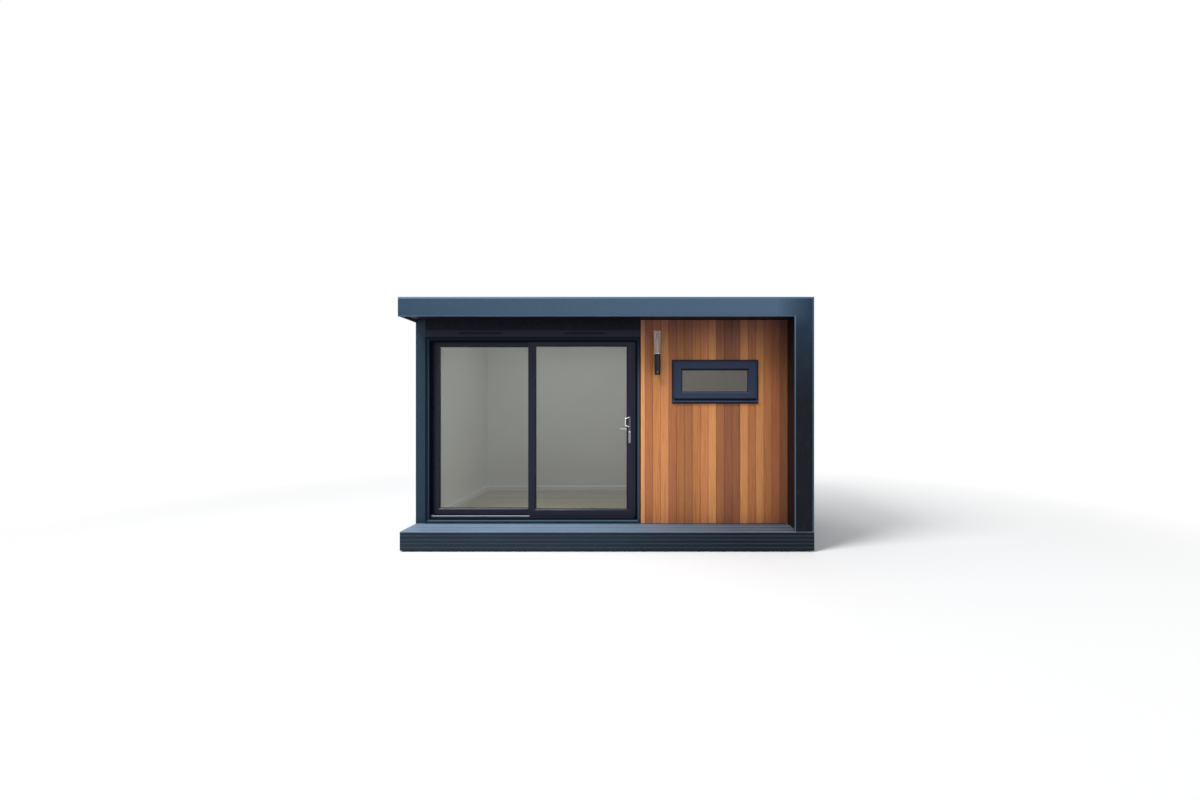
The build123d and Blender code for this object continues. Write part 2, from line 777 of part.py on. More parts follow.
def handle(piece, face_y, out):
    """A plate on the sash face and a grip bent from round bar; out is -1 outside and +1 inside."""
    with BuildSketch(Plane.XZ.offset(-face_y)) as plate:
        with Locations((handle_x, handle_z)):
            SlotOverall(plate_length, plate_width, rotation=90)
    extrude(plate.sketch, amount=-out * plate_thickness)
    chamfer(piece.faces().sort_by(Axis((0, 0, 0), (0, out, 0)))[-1].edges(), length=plate_bevel)
    grip_foot = face_y + out * plate_thickness / 2
    grip_y = face_y + out * grip_reach
    low_z = handle_z + plate_length / 2 - plate_width / 2 - grip_length
    high_z = handle_z + plate_length / 2 - plate_width / 2
    with BuildLine() as grip_route:
        FilletPolyline(
            (handle_x, grip_foot, high_z),
            (handle_x, grip_foot + out * grip_post, high_z),
            (handle_x - grip_offset, grip_y, high_z - grip_diameter),
            (handle_x - grip_offset, grip_y, low_z + grip_diameter),
            (handle_x, grip_foot + out * grip_post, low_z),
            (handle_x, grip_foot, low_z),
            radius=grip_diameter,
        )
    with BuildSketch(Plane(origin=grip_route.wires()[0] @ 0, z_dir=grip_route.wires()[0] % 0)) as bar:
        Circle(grip_diameter / 2)
    sweep(bar.sketch, path=grip_route.wires()[0])


with BuildPart() as outer_handle:
    handle(outer_handle, sliding_y, -1)
    with BuildSketch(Plane.XZ.offset(-(sliding_y - plate_thickness))):
        with Locations((handle_x, handle_z - lock_below_centre)):
            Circle(lock_radius)
    extrude(amount=lock_projection)
save(outer_handle, "outer_handle")

inner_face_y = sliding_y + sash_depth
with BuildPart() as inner_handle:
    handle(inner_handle, inner_face_y, 1)
save(inner_handle, "inner_handle")

# Lever inside, on a short hub, pointing across the glass
lever_z = handle_z + lever_above_centre
lever_hub_y = inner_face_y + plate_thickness + seat_clearance
with BuildPart() as lock_lever:
    with BuildSketch(Plane.XZ.offset(-lever_hub_y)):
        with Locations((handle_x, lever_z)):
            Circle(lever_hub_radius)
    extrude(amount=-lever_hub_length)
    with BuildSketch(Plane.XZ.offset(-(lever_hub_y + lever_hub_length))):
        with BuildLine():
            Polyline(
                (handle_x, lever_z + lever_root / 2),
                (handle_x, lever_z - lever_root / 2),
                (handle_x - lever_length, lever_z - lever_tip / 2),
                (handle_x - lever_length, lever_z + lever_tip / 2),
                close=True,
            )
        make_face()
    extrude(amount=lever_thickness)
save(lock_lever, "lock_lever")

# Window: a mitred frame with a weather bar at its foot, and a lipped sash closed against it
window_y = cladding_y - window_projection
reveal_depth = room_front_y + lining_thickness - window_y - window_frame_depth
with BuildPart() as window_frame:
    mitred_ring(
        (window_left, window_right), window_y, (window_bottom, window_top),
        ((0, 0), (window_frame_depth, 0), (window_frame_depth, window_frame_face),
         (0, window_frame_face)),
    )
    block((window_left + window_frame_face, window_right - window_frame_face),
          (window_y, window_y + window_frame_depth),
          (window_bottom + window_frame_face, window_bottom + window_frame_face + window_foot))
    with BuildSketch(Plane.YZ.offset(window_left)):
        with BuildLine():
            Polyline(
                (window_y, window_bottom + weather_bar_top),
                (window_y - weather_bar_projection, window_bottom + weather_bar_nose),
                (window_y - weather_bar_projection, window_bottom + weather_bar_drip),
                (window_y, window_bottom + weather_bar_drip),
                close=True,
            )
        make_face()
    extrude(amount=window_width)
save(window_frame, "window_frame")

with BuildPart() as window_reveal:
    mitred_ring(
        (window_left - window_reveal_thickness, window_right + window_reveal_thickness),
        window_y + window_frame_depth,
        (window_bottom - window_reveal_thickness, window_top + window_reveal_thickness),
        ((0, 0), (reveal_depth, 0), (reveal_depth, window_reveal_thickness), (0, window_reveal_thickness)),
    )
save(window_reveal, "window_reveal")

window_sash_front = window_y - window_sash_lip
window_glass_front = window_sash_lip + window_glass_setback
window_sash_back = window_sash_lip + window_sash_body
window_body_inset = window_frame_face - window_sash_inset
with BuildPart() as window_sash:
    mitred_ring(
        (window_left + window_sash_inset, window_right - window_sash_inset), window_sash_front,
        (window_bottom + window_foot + window_sash_inset, window_top - window_sash_inset),
        ((0, 0), (window_sash_lip, 0), (window_sash_lip, window_body_inset),
         (window_sash_back, window_body_inset), (window_sash_back, window_sash_face - sash_bevel),
         (window_glass_front + window_glass_thickness, window_sash_face),
         (window_glass_front + window_glass_thickness, window_sash_face - window_glass_rebate),
         (window_glass_front, window_sash_face - window_glass_rebate),
         (window_glass_front, window_sash_face),
         (window_sash_bevel_depth, window_sash_face - window_sash_bevel_width)),
    )
save(window_sash, "window_sash")

pane_inset = window_sash_inset + window_sash_face - window_glass_rebate
with BuildPart() as window_glass:
    block((window_left + pane_inset, window_right - pane_inset),
          (window_sash_front + window_glass_front,
           window_sash_front + window_glass_front + window_glass_thickness),
          (window_bottom + window_foot + pane_inset, window_top - pane_inset))
save(window_glass, "window_glass")

# Wall lamp: a turned body on a wall plate, a collar and a glass tube above it and a sensor eye near its foot
lamp_x = cladding_left + lamp_from_cladding_edge
lamp_y = cladding_y - lamp_reach
tube_top = soffit_bottom - lamp_below_soffit
tube_bottom = tube_top - lamp_tube_height
lamp_top = tube_bottom - lamp_collar_height
lamp_z = lamp_top - lamp_body_height
lamp_middle = lamp_z + lamp_body_height / 2
lamp_axis = Axis((lamp_x, lamp_y, 0), (0, 0, 1))
lamp_plane = Plane(origin=(lamp_x, lamp_y, 0), x_dir=(1, 0, 0), z_dir=(0, -1, 0))


def lamp_barrel(mode=Mode.ADD):
    """The turned body of the lamp, a little fuller at its middle."""
    with BuildSketch(lamp_plane) as outline:
        with BuildLine():
            Polyline((lamp_body_waist, lamp_z), (0, lamp_z), (0, lamp_top), (lamp_body_waist, lamp_top))
            ThreePointArc((lamp_body_waist, lamp_top), (lamp_body_radius, lamp_middle), (lamp_body_waist, lamp_z))
        make_face()
    revolve(outline.sketch, axis=lamp_axis, mode=mode)


with BuildPart() as lamp_body:
    lamp_barrel()
    block((lamp_x - lamp_plate_width / 2, lamp_x + lamp_plate_width / 2),
          (cladding_y - lamp_plate_thickness, cladding_y),
          (lamp_middle - lamp_plate_height / 2, lamp_middle + lamp_plate_height / 2))
    block((lamp_x - lamp_arm_width / 2, lamp_x + lamp_arm_width / 2),
          (lamp_y, cladding_y - lamp_plate_thickness),
          (lamp_middle - lamp_arm_width / 2, lamp_middle + lamp_arm_width / 2))
save(lamp_body, "lamp_body")

sensor_z = lamp_z + sensor_rise
with BuildPart() as lamp_trims:
    with BuildSketch(Plane.XY.offset(lamp_top)):
        with Locations((lamp_x, lamp_y)):
            Circle(lamp_collar_radius)
    extrude(amount=lamp_collar_height)
    chamfer(lamp_trims.faces().sort_by(Axis.Z)[-1].edges(), length=lamp_collar_height / 4)
    with BuildSketch(Plane.XZ.offset(-lamp_y)):
        with Locations((lamp_x, sensor_z)):
            Circle(sensor_radius)
    extrude(amount=lamp_body_radius + sensor_projection)
    lamp_barrel(Mode.SUBTRACT)
save(lamp_trims, "lamp_trims")

with BuildPart() as lamp_tube:
    with BuildSketch(lamp_plane):
        with BuildLine():
            Polyline(
                (lamp_tube_radius - lamp_tube_wall, tube_bottom),
                (lamp_tube_radius, tube_bottom),
                (lamp_tube_radius, tube_top),
                (0, tube_top),
                (0, tube_top - lamp_tube_wall),
                (lamp_tube_radius - lamp_tube_wall, tube_top - lamp_tube_wall),
                close=True,
            )
        make_face()
    revolve(axis=lamp_axis)
save(lamp_tube, "lamp_tube")
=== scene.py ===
"""Garden office pod: finishes for the solid frame, with the boards, panes and fittings around it."""
import math
import random

import bmesh
import bpy
from bpy.props import FloatProperty, FloatVectorProperty, IntProperty, PointerProperty
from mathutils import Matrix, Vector


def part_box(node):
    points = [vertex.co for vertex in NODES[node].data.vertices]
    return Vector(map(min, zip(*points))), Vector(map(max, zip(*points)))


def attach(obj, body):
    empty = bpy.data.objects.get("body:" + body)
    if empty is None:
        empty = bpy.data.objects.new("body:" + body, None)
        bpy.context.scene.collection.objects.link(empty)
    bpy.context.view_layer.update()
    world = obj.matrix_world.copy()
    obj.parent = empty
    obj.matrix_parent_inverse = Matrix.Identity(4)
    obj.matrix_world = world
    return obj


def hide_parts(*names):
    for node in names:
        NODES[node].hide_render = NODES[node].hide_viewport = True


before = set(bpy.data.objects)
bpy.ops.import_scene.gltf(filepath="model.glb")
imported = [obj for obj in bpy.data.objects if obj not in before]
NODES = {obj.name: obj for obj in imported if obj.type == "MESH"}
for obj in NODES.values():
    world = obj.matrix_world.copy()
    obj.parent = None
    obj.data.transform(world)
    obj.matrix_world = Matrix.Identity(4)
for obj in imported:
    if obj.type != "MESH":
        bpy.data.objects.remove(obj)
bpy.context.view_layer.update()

bl_info = {
    "name": "Garden Office Pod",
    "version": (1, 0, 0),
    "blender": (4, 5, 0),
    "location": "View3D > Sidebar > Pod",
    "description": "Dresses the frame of a garden office pod with cladding, glazing, fittings and finishes",
    "category": "Add Mesh",
}

SKIRT_GROOVE_PITCH = 0.040
SKIRT_FIRST_GROOVE = 0.012
# Above this height the outside plate gets a painted dark reflection
HANDLE_HEIGHT = 1.242
# Painted sky reflection on the canopy's trim, stronger with height, and less towards its left end and at its
# right corner
SKY_HEIGHTS = (2.30, 2.46)
SKY_LEFT = (-2.2, 1.74)
SKY_RIGHT = (2.14, 1.74)
# Painted shade on the canopy's leg, darker downwards, over its own width
LEG_HEIGHTS = (2.70, 1.55)
LEG_WIDTH = (1.80, 1.95)
# The door frame's right edge gets daylight below these heights, over this share of its face
JAMB_HEIGHTS = (2.25, 1.85)
DAYLIT_SHARE = 0.75
# A face looks along an axis when that part of its normal is larger than this
SQUARE = 0.9
# The gap between a fitting and what it lies on, and the overlap that hides a joint
HAIR = 0.0005
OVERLAP = 0.001
# Two places nearer than this are the same, and a long edge is longer than this
TOUCH = 0.00001
LONG = 0.5
# Every material, by the name it is asked for
FINISHES = {}


def length(name, description, default):
    """A size in metres that a user can change."""
    return FloatProperty(name=name, description=description, default=default, min=0.0, unit="LENGTH")


def coordinate(name, description, default):
    """A coordinate in metres that a user can change."""
    return FloatProperty(name=name, description=description, default=default, unit="LENGTH")


def paint(name, description, default):
    """A linear colour that a user can change."""
    return FloatVectorProperty(name=name, description=description, default=default, min=0.0, max=1.0,
                               subtype="COLOR")


class CladdingSettings(bpy.types.PropertyGroup):
    """Sizes of the upright cedar boards."""

    strip_width: length("Edge strip", "Width of the plain strip beside the door", 0.046)
    board_count: IntProperty(name="Boards", description="Full boards between the strip and the wing wall",
                             default=18, min=1)
    joint_gap: length("Joint gap", "Open gap between two board faces", 0.0024)
    joint_chamfer: length("Chamfer", "Chamfer on the long edges of a board", 0.0020)
    tongue_thickness: length("Tongue", "Thickness of the tongue that closes each joint", 0.007)
    foot_gap: length("Foot gap", "Gap between the boards and the deck", 0.006)
    head_gap: length("Head gap", "Gap between the boards and the soffit", 0.003)
    window_gap: length("Window gap", "Shadow gap round the window frame", 0.002)
    board_step: length("Board step", "How far one board may stand behind the next", 0.0010)
    seed: IntProperty(name="Seed", description="Seed of the small differences between boards", default=11)


class GlazingSettings(bpy.types.PropertyGroup):
    """Sizes of the sealed glass units and their rubber seals."""

    pane_thickness: length("Pane", "Thickness of one sheet of glass", 0.004)
    spacer_width: length("Spacer", "Width of the bar between the sheets", 0.0155)
    rebate: length("Rebate", "How far the unit reaches into its sash", 0.012)
    seal_width: length("Seal width", "Width of the rubber seal on the glass", 0.0035)
    seal_height: length("Seal height", "How far the seal stands off the glass", 0.0022)


class RoofSettings(bpy.types.PropertyGroup):
    """Sizes of the roof sheet's laps and of the gutter's fittings."""

    kerb_height: length("Kerb", "Height of the kerb round the roof sheet", 0.030)
    kerb_width: length("Kerb width", "Width of that kerb", 0.015)
    drip: length("Drip", "How far the sheet turns down over the gutter", 0.012)
    sheet_thickness: length("Sheet", "Thickness of the roof sheet", 0.004)
    lap_width: length("Lap", "Width of the cover strip over a seam of the roof sheet", 0.110)
    lap_thickness: length("Lap thickness", "Thickness of that strip", 0.0018)
    strap_count: IntProperty(name="Straps", description="Straps across the gutter", default=6, min=2)
    strap_width: length("Strap width", "Width of a gutter strap", 0.024)
    strap_thickness: length("Strap thickness", "Thickness of a gutter strap", 0.003)
    strap_inset: length("Strap inset", "From the end of the gutter to its first strap", 0.15)
    collar_height: length("Collar", "Height of the socket collars on the downpipe", 0.045)
    collar_wall: length("Collar wall", "Thickness of a collar", 0.0034)


class FixingSettings(bpy.types.PropertyGroup):
    """Sizes of the coloured screws in the metal trims and of the door's small fittings."""

    screw_radius: length("Screw head", "Radius of a trim screw's head", 0.0052)
    screw_rise: length("Screw rise", "Height of a trim screw's head", 0.0024)
    screw_pitch: length("Screw pitch", "Distance between screws along a trim", 0.42)
    plate_screw_radius: length("Plate screw", "Radius of a handle plate's screw", 0.0038)
    cap_length: length("Drain cap", "Length of a drain cap on the door frame", 0.034)
    cap_height: length("Drain cap height", "Height of a drain cap on the door frame", 0.010)
    cap_rise: length("Drain cap rise", "How far a drain cap stands off the frame", 0.0035)
    slot_pitch: length("Vent slots", "Distance between the slots of a trickle vent", 0.010)
    slot_depth: length("Slot depth", "Depth of those slots", 0.0012)
    threshold_width: length("Threshold", "Width of the strip between the door and the floor boards", 0.032)
    threshold_height: length("Threshold height", "Height of that strip", 0.004)
    sheet: length("Sheet metal", "Thickness of the flashing round the base", 0.0015)
    flashing_fall: length("Flashing fall", "How far that flashing slopes down over the skirts", 0.007)
    door_frame_face: length("Door frame", "Width of the door frame's face", 0.042)
    brush_width: length("Brush seal", "Width of the brush seal in the door frame", 0.012)
    weather_bar: length("Weather bar", "How far the window's weather bar stands off its frame", 0.010)
    # The window's edge seal, the seal under its sash and the door's sealant line are black and also stand in
    # for shadow lines round the frames
    edge_seal_width: length("Edge seal", "Width of the rubber edge round the window frame", 0.009)
    sealant_width: length("Sealant", "Width of the sealant line round the door frame", 0.006)
    sash_seal_width: length("Sash seal", "Width of the rubber seal round the window's sash", 0.004)
    sash_seal_foot: length("Sash seal foot", "Height of that seal under the sash", 0.009)
    sash_seal_lap: length("Sash seal lap", "How far that seal laps the foot of the sash", 0.013)
    sash_seal_reach: length("Sash seal reach", "How far that seal reaches past the sash", 0.003)
    stop_gap: length("Stop gap", "Gap between the closed leaf and the stop on its rail", 0.010)
    deck_seal_depth: length("Deck seal", "Depth of the rubber strip between the deck and the wall", 0.016)
    rail_bright: length("Bright rail", "Height of the bare metal on the rail", 0.013)
    plate_face: length("Plate face", "How far the face of the outside plate stands off the leaf", 0.010)
    plate_middle: length("Plate middle", "From the right edge of a handle plate to its middle line", 0.013)
    plug_fall: length("Plug fall", "From the middle of the outside handle down to the lock's plug", 0.024)
    plug_radius: length("Plug radius", "Radius of the plug in the lock cylinder", 0.0062)
    plug_depth: length("Plug depth", "Thickness of that plug", 0.0016)
    vent_middle: length("Vent middle", "From the middle of the door to the middle of a trickle vent", 0.575)
    vent_width: length("Vent width", "Width of a trickle vent's slotted strip", 0.464)
    vent_height: length("Vent height", "Height of a trickle vent's slots over the foot of its frame", 0.028)
    upstand: length("Upstand", "How far the base flashing stands up on the wall", 0.012)
    edge_screws: length("Edge screws", "From the wall's front corner to its first row of screws", 0.025)
    rear_screws: length("Rear screws", "From the wall's rear corner to its last row of screws", 0.030)


class FinishSettings(bpy.types.PropertyGroup):
    """Linear colours of the finishes."""

    metal: paint("Coated metal", "Anthracite coated metal of the trims", (0.0100, 0.0290, 0.0510))
    # Painted sky reflection on the canopy's trim
    sky_reflection_metal: paint("Faded metal", "The same coating where sun and rain reach it", (0.058, 0.098, 0.150))
    # Painted shade low down on the canopy's leg
    shaded_leg_metal: paint("Leg metal", "The same coating low down on the canopy's leg", (0.0035, 0.0045, 0.0095))
    panel: paint("Wall panel", "Anthracite face of the wall panels", (0.0100, 0.0225, 0.0370))
    header: paint("Header panel", "Shaded panels over the door and the canopy", (0.0035, 0.0033, 0.0095))
    # Painted shade on the wing wall's face towards the cedar
    shaded_wing_inside: paint("Wing inside", "The wing wall's face towards the cedar", (0.0025, 0.0012, 0.0014))
    foil: paint("Sash foil", "Grained foil on the sashes", (0.0045, 0.0060, 0.0190))
    frame_foil: paint("Frame foil", "Grained foil on the door's outer frame", (0.0012, 0.0075, 0.0155))
    sill_foil: paint("Sill foil", "The same foil in daylight, on the door's sill", (0.0135, 0.0385, 0.0620))
    jamb_foil: paint("Jamb foil", "The same, on the right edge of the door frame", (0.034, 0.052, 0.076))
    # Painted sky highlight on the bevel that faces up
    ledge_foil: paint("Ledge foil", "The same foil on the bevel that faces the sky", (0.070, 0.108, 0.145))
    window_foil: paint("Window foil", "Grained foil on the window", (0.0255, 0.0375, 0.0725))
    # Painted sky highlight on the window's bevels that face up
    window_ledge: paint("Window ledge", "The same on the bevels that face the sky", (0.058, 0.064, 0.100))
    # Painted sky light on the top of the deck boards
    deck: paint("Deck", "Weathered top of the composite deck boards", (0.138, 0.200, 0.282))
    skirt: paint("Skirt", "Composite boards round the base", (0.0125, 0.0222, 0.0345))
    cedar_pale: paint("Pale cedar", "Sapwood tone of the cedar", (0.690, 0.325, 0.118))
    cedar_mid: paint("Cedar", "Middle tone of the cedar", (0.495, 0.191, 0.057))
    cedar_deep: paint("Deep cedar", "Heartwood tone of the cedar", (0.218, 0.079, 0.031))
    laminate: paint("Laminate", "Floor boards of the room", (0.350, 0.268, 0.135))
    lining: paint("Lining", "Painted walls and ceiling of the room", (0.800, 0.795, 0.775))
    timber: paint("Treated timber", "Joists", (0.330, 0.270, 0.150))
    rubber: paint("Rubber", "Roof sheet", (0.030, 0.031, 0.033))
    glass: paint("Glass tint", "Light that one face of a sheet of glass lets through", (0.968, 0.976, 0.972))
    window_tint: paint("Window tint", "The same for the small window", (0.820, 0.800, 0.795))
    gutter: paint("Gutter", "Plastic of the gutter and its pipe", (0.032, 0.037, 0.044))
    roller: paint("Roller", "Nylon of the door's rollers", (0.090, 0.090, 0.095))
    seal: paint("Seal", "Rubber seals and sealant", (0.0035, 0.0040, 0.0060))
    brush: paint("Brush", "Pile of the brush seal", (0.0010, 0.0025, 0.0065))
    aluminium: paint("Aluminium", "Bare metal of the rail and the threshold", (0.620, 0.640, 0.680))
    rail_foot: paint("Rail foot", "Dark foot of the rail", (0.006, 0.009, 0.018))
    chrome: paint("Chrome", "Plating of the inside handle and its lever", (0.660, 0.670, 0.690))
    grip: paint("Grip", "Plating of the outside grip", (0.720, 0.730, 0.750))
    plate: paint("Plate", "Satin plating of the outside plate", (0.260, 0.270, 0.290))
    brass: paint("Brass", "Plug of the lock cylinder", (0.700, 0.580, 0.340))
    silver: paint("Silver", "Small screws and the lamp's collar", (0.560, 0.570, 0.590))
    lens: paint("Lens", "Sensor eye of the lamp", (0.100, 0.100, 0.120))
    lamp_black: paint("Lamp", "Coated body of the lamp", (0.006, 0.006, 0.008))
    lamp_core: paint("Lamp core", "Diffuser inside the lamp's tube", (0.560, 0.430, 0.370))


class StageSettings(bpy.types.PropertyGroup):
    """The camera and the studio."""

    camera_x: coordinate("Camera X", "Camera to the right of the origin", 0.4005)
    camera_y: coordinate("Camera Y", "Camera behind the origin; below zero it stands in front", -7.605)
    camera_z: length("Camera height", "Height of the lens above the ground", 1.497)
    focal_length: FloatProperty(name="Focal length", description="Focal length on a sensor 36 mm wide",
                                default=17.58, min=1.0, unit="CAMERA")
    shift_x: FloatProperty(name="Shift X", description="Sideways shift of the lens, in image widths",
                           default=-0.0375)
    shift_y: FloatProperty(name="Shift Y", description="Upward shift of the lens, in image widths",
                           default=0.0054)
    floor_radius: length("Floor radius", "Radius of the round studio floor", 60.0)
    floor_shade: FloatProperty(name="Floor shade", description="Grey of the floor", default=0.82,
                               min=0.0, max=1.0)
    fade_start: length("Fade start", "Distance at which the floor begins to turn white", 3.0)
    fade_end: length("Fade end", "Distance at which the floor is white", 7.5)


# Modelling helpers

def clear_selection():
    """Leave every mode and every selection."""
    if bpy.context.object and bpy.context.object.mode != "OBJECT":
        bpy.ops.object.mode_set(mode="OBJECT")
    bpy.ops.object.select_all(action="DESELECT")


def choose(*pieces):
    """Select these pieces alone, the first one active."""
    clear_selection()
    for piece in pieces:
        piece.select_set(True)
    bpy.context.view_layer.objects.active = pieces[0]


def settle(piece, name):
    """Name a new piece and move its place into its mesh."""
    choose(piece)
    bpy.ops.object.transform_apply(location=True, rotation=True, scale=True)
    piece.name = name
    piece.data.name = name
    return piece


def start_box(name, low, high):
    """A box between two corners."""
    low, high = Vector(low), Vector(high)
    clear_selection()
    bpy.ops.mesh.primitive_cube_add(size=1, location=(low + high) / 2, scale=high - low)
    return settle(bpy.context.object, name)


def start_cylinder(name, centre, radius, depth, axis="Z", sides=32):
    """A cylinder about a centre, along one axis."""
    turn = {"X": (0, math.pi / 2, 0), "Y": (math.pi / 2, 0, 0), "Z": (0, 0, 0)}[axis]
    clear_selection()
    bpy.ops.mesh.primitive_cylinder_add(vertices=sides, radius=radius, depth=depth, location=centre,
                                        rotation=turn)
    return settle(bpy.context.object, name)


class Editing:
    """Edit mode on one piece, with its faces and edges picked by place or normal."""

    def __init__(self, piece, kind="FACE"):
        self.piece = piece
        self.kind = kind

    def __enter__(self):
        choose(self.piece)
        bpy.ops.object.mode_set(mode="EDIT")
        bpy.ops.mesh.select_mode(type=self.kind)
        bpy.ops.mesh.select_all(action="DESELECT")
        return self

    def __exit__(self, *problem):
        bpy.ops.object.mode_set(mode="OBJECT")

    def pick(self, kind, test):
        """Select the faces or edges that pass a test, and nothing else."""
        bpy.ops.mesh.select_all(action="DESELECT")
        mesh = bmesh.from_edit_mesh(self.piece.data)
        for element in getattr(mesh, kind):
            if test(element):
                element.select_set(True)
        bmesh.update_edit_mesh(self.piece.data)

    def pick_side(self, axis, side):
        """Select the faces that look along an axis: to its high end for 1, to its low end for -1."""
        self.pick("faces", lambda face: getattr(face.normal, axis) * side > SQUARE)

    def pick_ends(self, axis):
        """Select the faces at both ends of an axis."""
        self.pick("faces", lambda face: abs(getattr(face.normal, axis)) > SQUARE)

    def pick_long_edges(self, axis, test):
        """Select the long edges along an axis whose ends pass a test."""
        def passes(edge):
            """Whether an edge is long enough, lies along the axis and passes the test at both ends."""
            first, second = (vertex.co for vertex in edge.verts)
            return abs(getattr(first - second, axis)) > LONG and test(first) and test(second)
        self.pick("edges", passes)

    def inset(self, thickness, depth=0.0):
        """Inset what is selected."""
        bpy.ops.mesh.inset(thickness=thickness, depth=depth)

    def extrude(self, shift):
        """Extrude what is selected by a vector."""
        bpy.ops.mesh.extrude_region_move(TRANSFORM_OT_translate={"value": shift})

    def move(self, shift):
        """Move what is selected by a vector."""
        bpy.ops.transform.translate(value=shift)

    def cut_away(self, place, outward):
        """Cut off all that is past a plane and close the cut."""
        bpy.ops.mesh.select_all(action="SELECT")
        bpy.ops.mesh.bisect(plane_co=place, plane_no=outward, clear_outer=True, use_fill=True)


def smooth(angle):
    """Smooth the shading of the active piece over edges flatter than an angle in degrees."""
    bpy.ops.object.shade_smooth_by_angle(angle=math.radians(angle))


def soften(piece, width, segments=2, angle=30):
    """Round the sharp edges of a piece with an applied bevel and smooth its shading."""
    choose(piece)
    bevel = piece.modifiers.new("Soften", "BEVEL")
    bevel.width = width
    bevel.segments = segments
    bevel.limit_method = "ANGLE"
    bevel.angle_limit = math.radians(angle)
    bevel.harden_normals = False
    bpy.ops.object.modifier_apply(modifier=bevel.name)
    smooth(angle)
    return piece


def raise_side(piece, axis, side, border, shift, new_walls=False):
    """Move one side of a piece within a border; with new walls the border stays flat."""
    with Editing(piece) as edit:
        edit.pick_side(axis, side)
        edit.inset(border)
        if new_walls:
            edit.extrude(shift)
        else:
            edit.move(shift)
    return piece


def carve(piece, cutter):
    """Cut one piece out of another and drop the cutter."""
    choose(piece)
    cut = piece.modifiers.new("Carve", "BOOLEAN")
    cut.operation = "DIFFERENCE"
    cut.solver = "EXACT"
    cut.object = cutter
    bpy.ops.object.modifier_apply(modifier=cut.name)
    bpy.data.objects.remove(cutter)
    return piece


def shifted_copy(piece, shift):
    """A copy with its own mesh, moved by a vector."""
    copy = piece.copy()
    copy.data = piece.data.copy()
    bpy.context.scene.collection.objects.link(copy)
    for vertex in copy.data.vertices:
        vertex.co += Vector(shift)
    return copy


def join(name, pieces):
    """Make one named piece of several."""
    choose(*pieces)
    if len(pieces) > 1:
        bpy.ops.object.join()
    joined = bpy.context.object
    joined.name = name
    joined.data.name = name
    return joined


def open_ring(name, low, high, face_width):
    """A rectangular ring upright in the XZ plane: a box, inset on both large faces and bridged through."""
    ring = start_box(name, low, high)
    with Editing(ring) as edit:
        edit.pick_ends("y")
        edit.inset(face_width)
        bpy.ops.mesh.bridge_edge_loops()
    return ring


def ring_round(name, box, outset, near, far, face_width):
    """An open ring round a box, past it by an outset that may be below zero, between two depths."""
    low, high = box
    return open_ring(name, (low.x - outset, near, low.z - outset), (high.x + outset, far, high.z + outset),
                     face_width)


def finish_piece(piece, body, finish):
    """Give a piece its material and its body."""
    piece.data.materials.clear()
    piece.data.materials.append(FINISHES[finish])
    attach(piece, body)
    return piece


# Shader helpers

class Socket:
    """One output of a tree's nodes, with arithmetic between sockets and plain numbers."""

    def __init__(self, nodes, output):
        self.nodes = nodes
        self.output = output

    def __add__(self, other):
        return self.nodes.maths("ADD", self, other)

    def __radd__(self, other):
        return self.nodes.maths("ADD", other, self)

    def __sub__(self, other):
        return self.nodes.maths("SUBTRACT", self, other)

    def __rsub__(self, other):
        return self.nodes.maths("SUBTRACT", other, self)

    def __mul__(self, other):
        return self.nodes.maths("MULTIPLY", self, other)

    def __rmul__(self, other):
        return self.nodes.maths("MULTIPLY", other, self)

    def __truediv__(self, other):
        return self.nodes.maths("DIVIDE", self, other)

    def __pow__(self, other):
        return self.nodes.maths("POWER", self, other)


class Nodes:
    """The node tree of a material or a world."""

    def __init__(self, owner):
        owner.use_nodes = True
        self.tree = owner.node_tree
        self.tree.nodes.clear()

    def add(self, kind, inputs=None, output=0, **settings):
        """Add one node; its settings come first, then the values or links of its sockets."""
        node = self.tree.nodes.new(kind)
        for setting, value in settings.items():
            setattr(node, setting, value)
        for key, value in (inputs or {}).items():
            self.feed(node.inputs[key], value)
        return Socket(self, node.outputs[output]) if node.outputs else node

    def feed(self, socket, value):
        """Link a socket, or set it to a plain value."""
        if isinstance(value, Socket):
            self.tree.links.new(value.output, socket)
        elif socket.type == "RGBA" and len(value) == 3:
            socket.default_value = tuple(value) + (1.0,)
        else:
            socket.default_value = value

    def maths(self, operation, *values):
        """The result of one operation on sockets and plain numbers."""
        return self.add("ShaderNodeMath", dict(enumerate(values)), operation=operation)

    def largest(self, *values):
        """The largest of some values."""
        most = values[0]
        for value in values[1:]:
            most = self.maths("MAXIMUM", most, value)
        return most

    def seen_by(self, *rays):
        """1 for some kinds of rays, 0 for the rest."""
        return self.largest(*(self.add("ShaderNodeLightPath", output=f"Is {ray} Ray") for ray in rays))


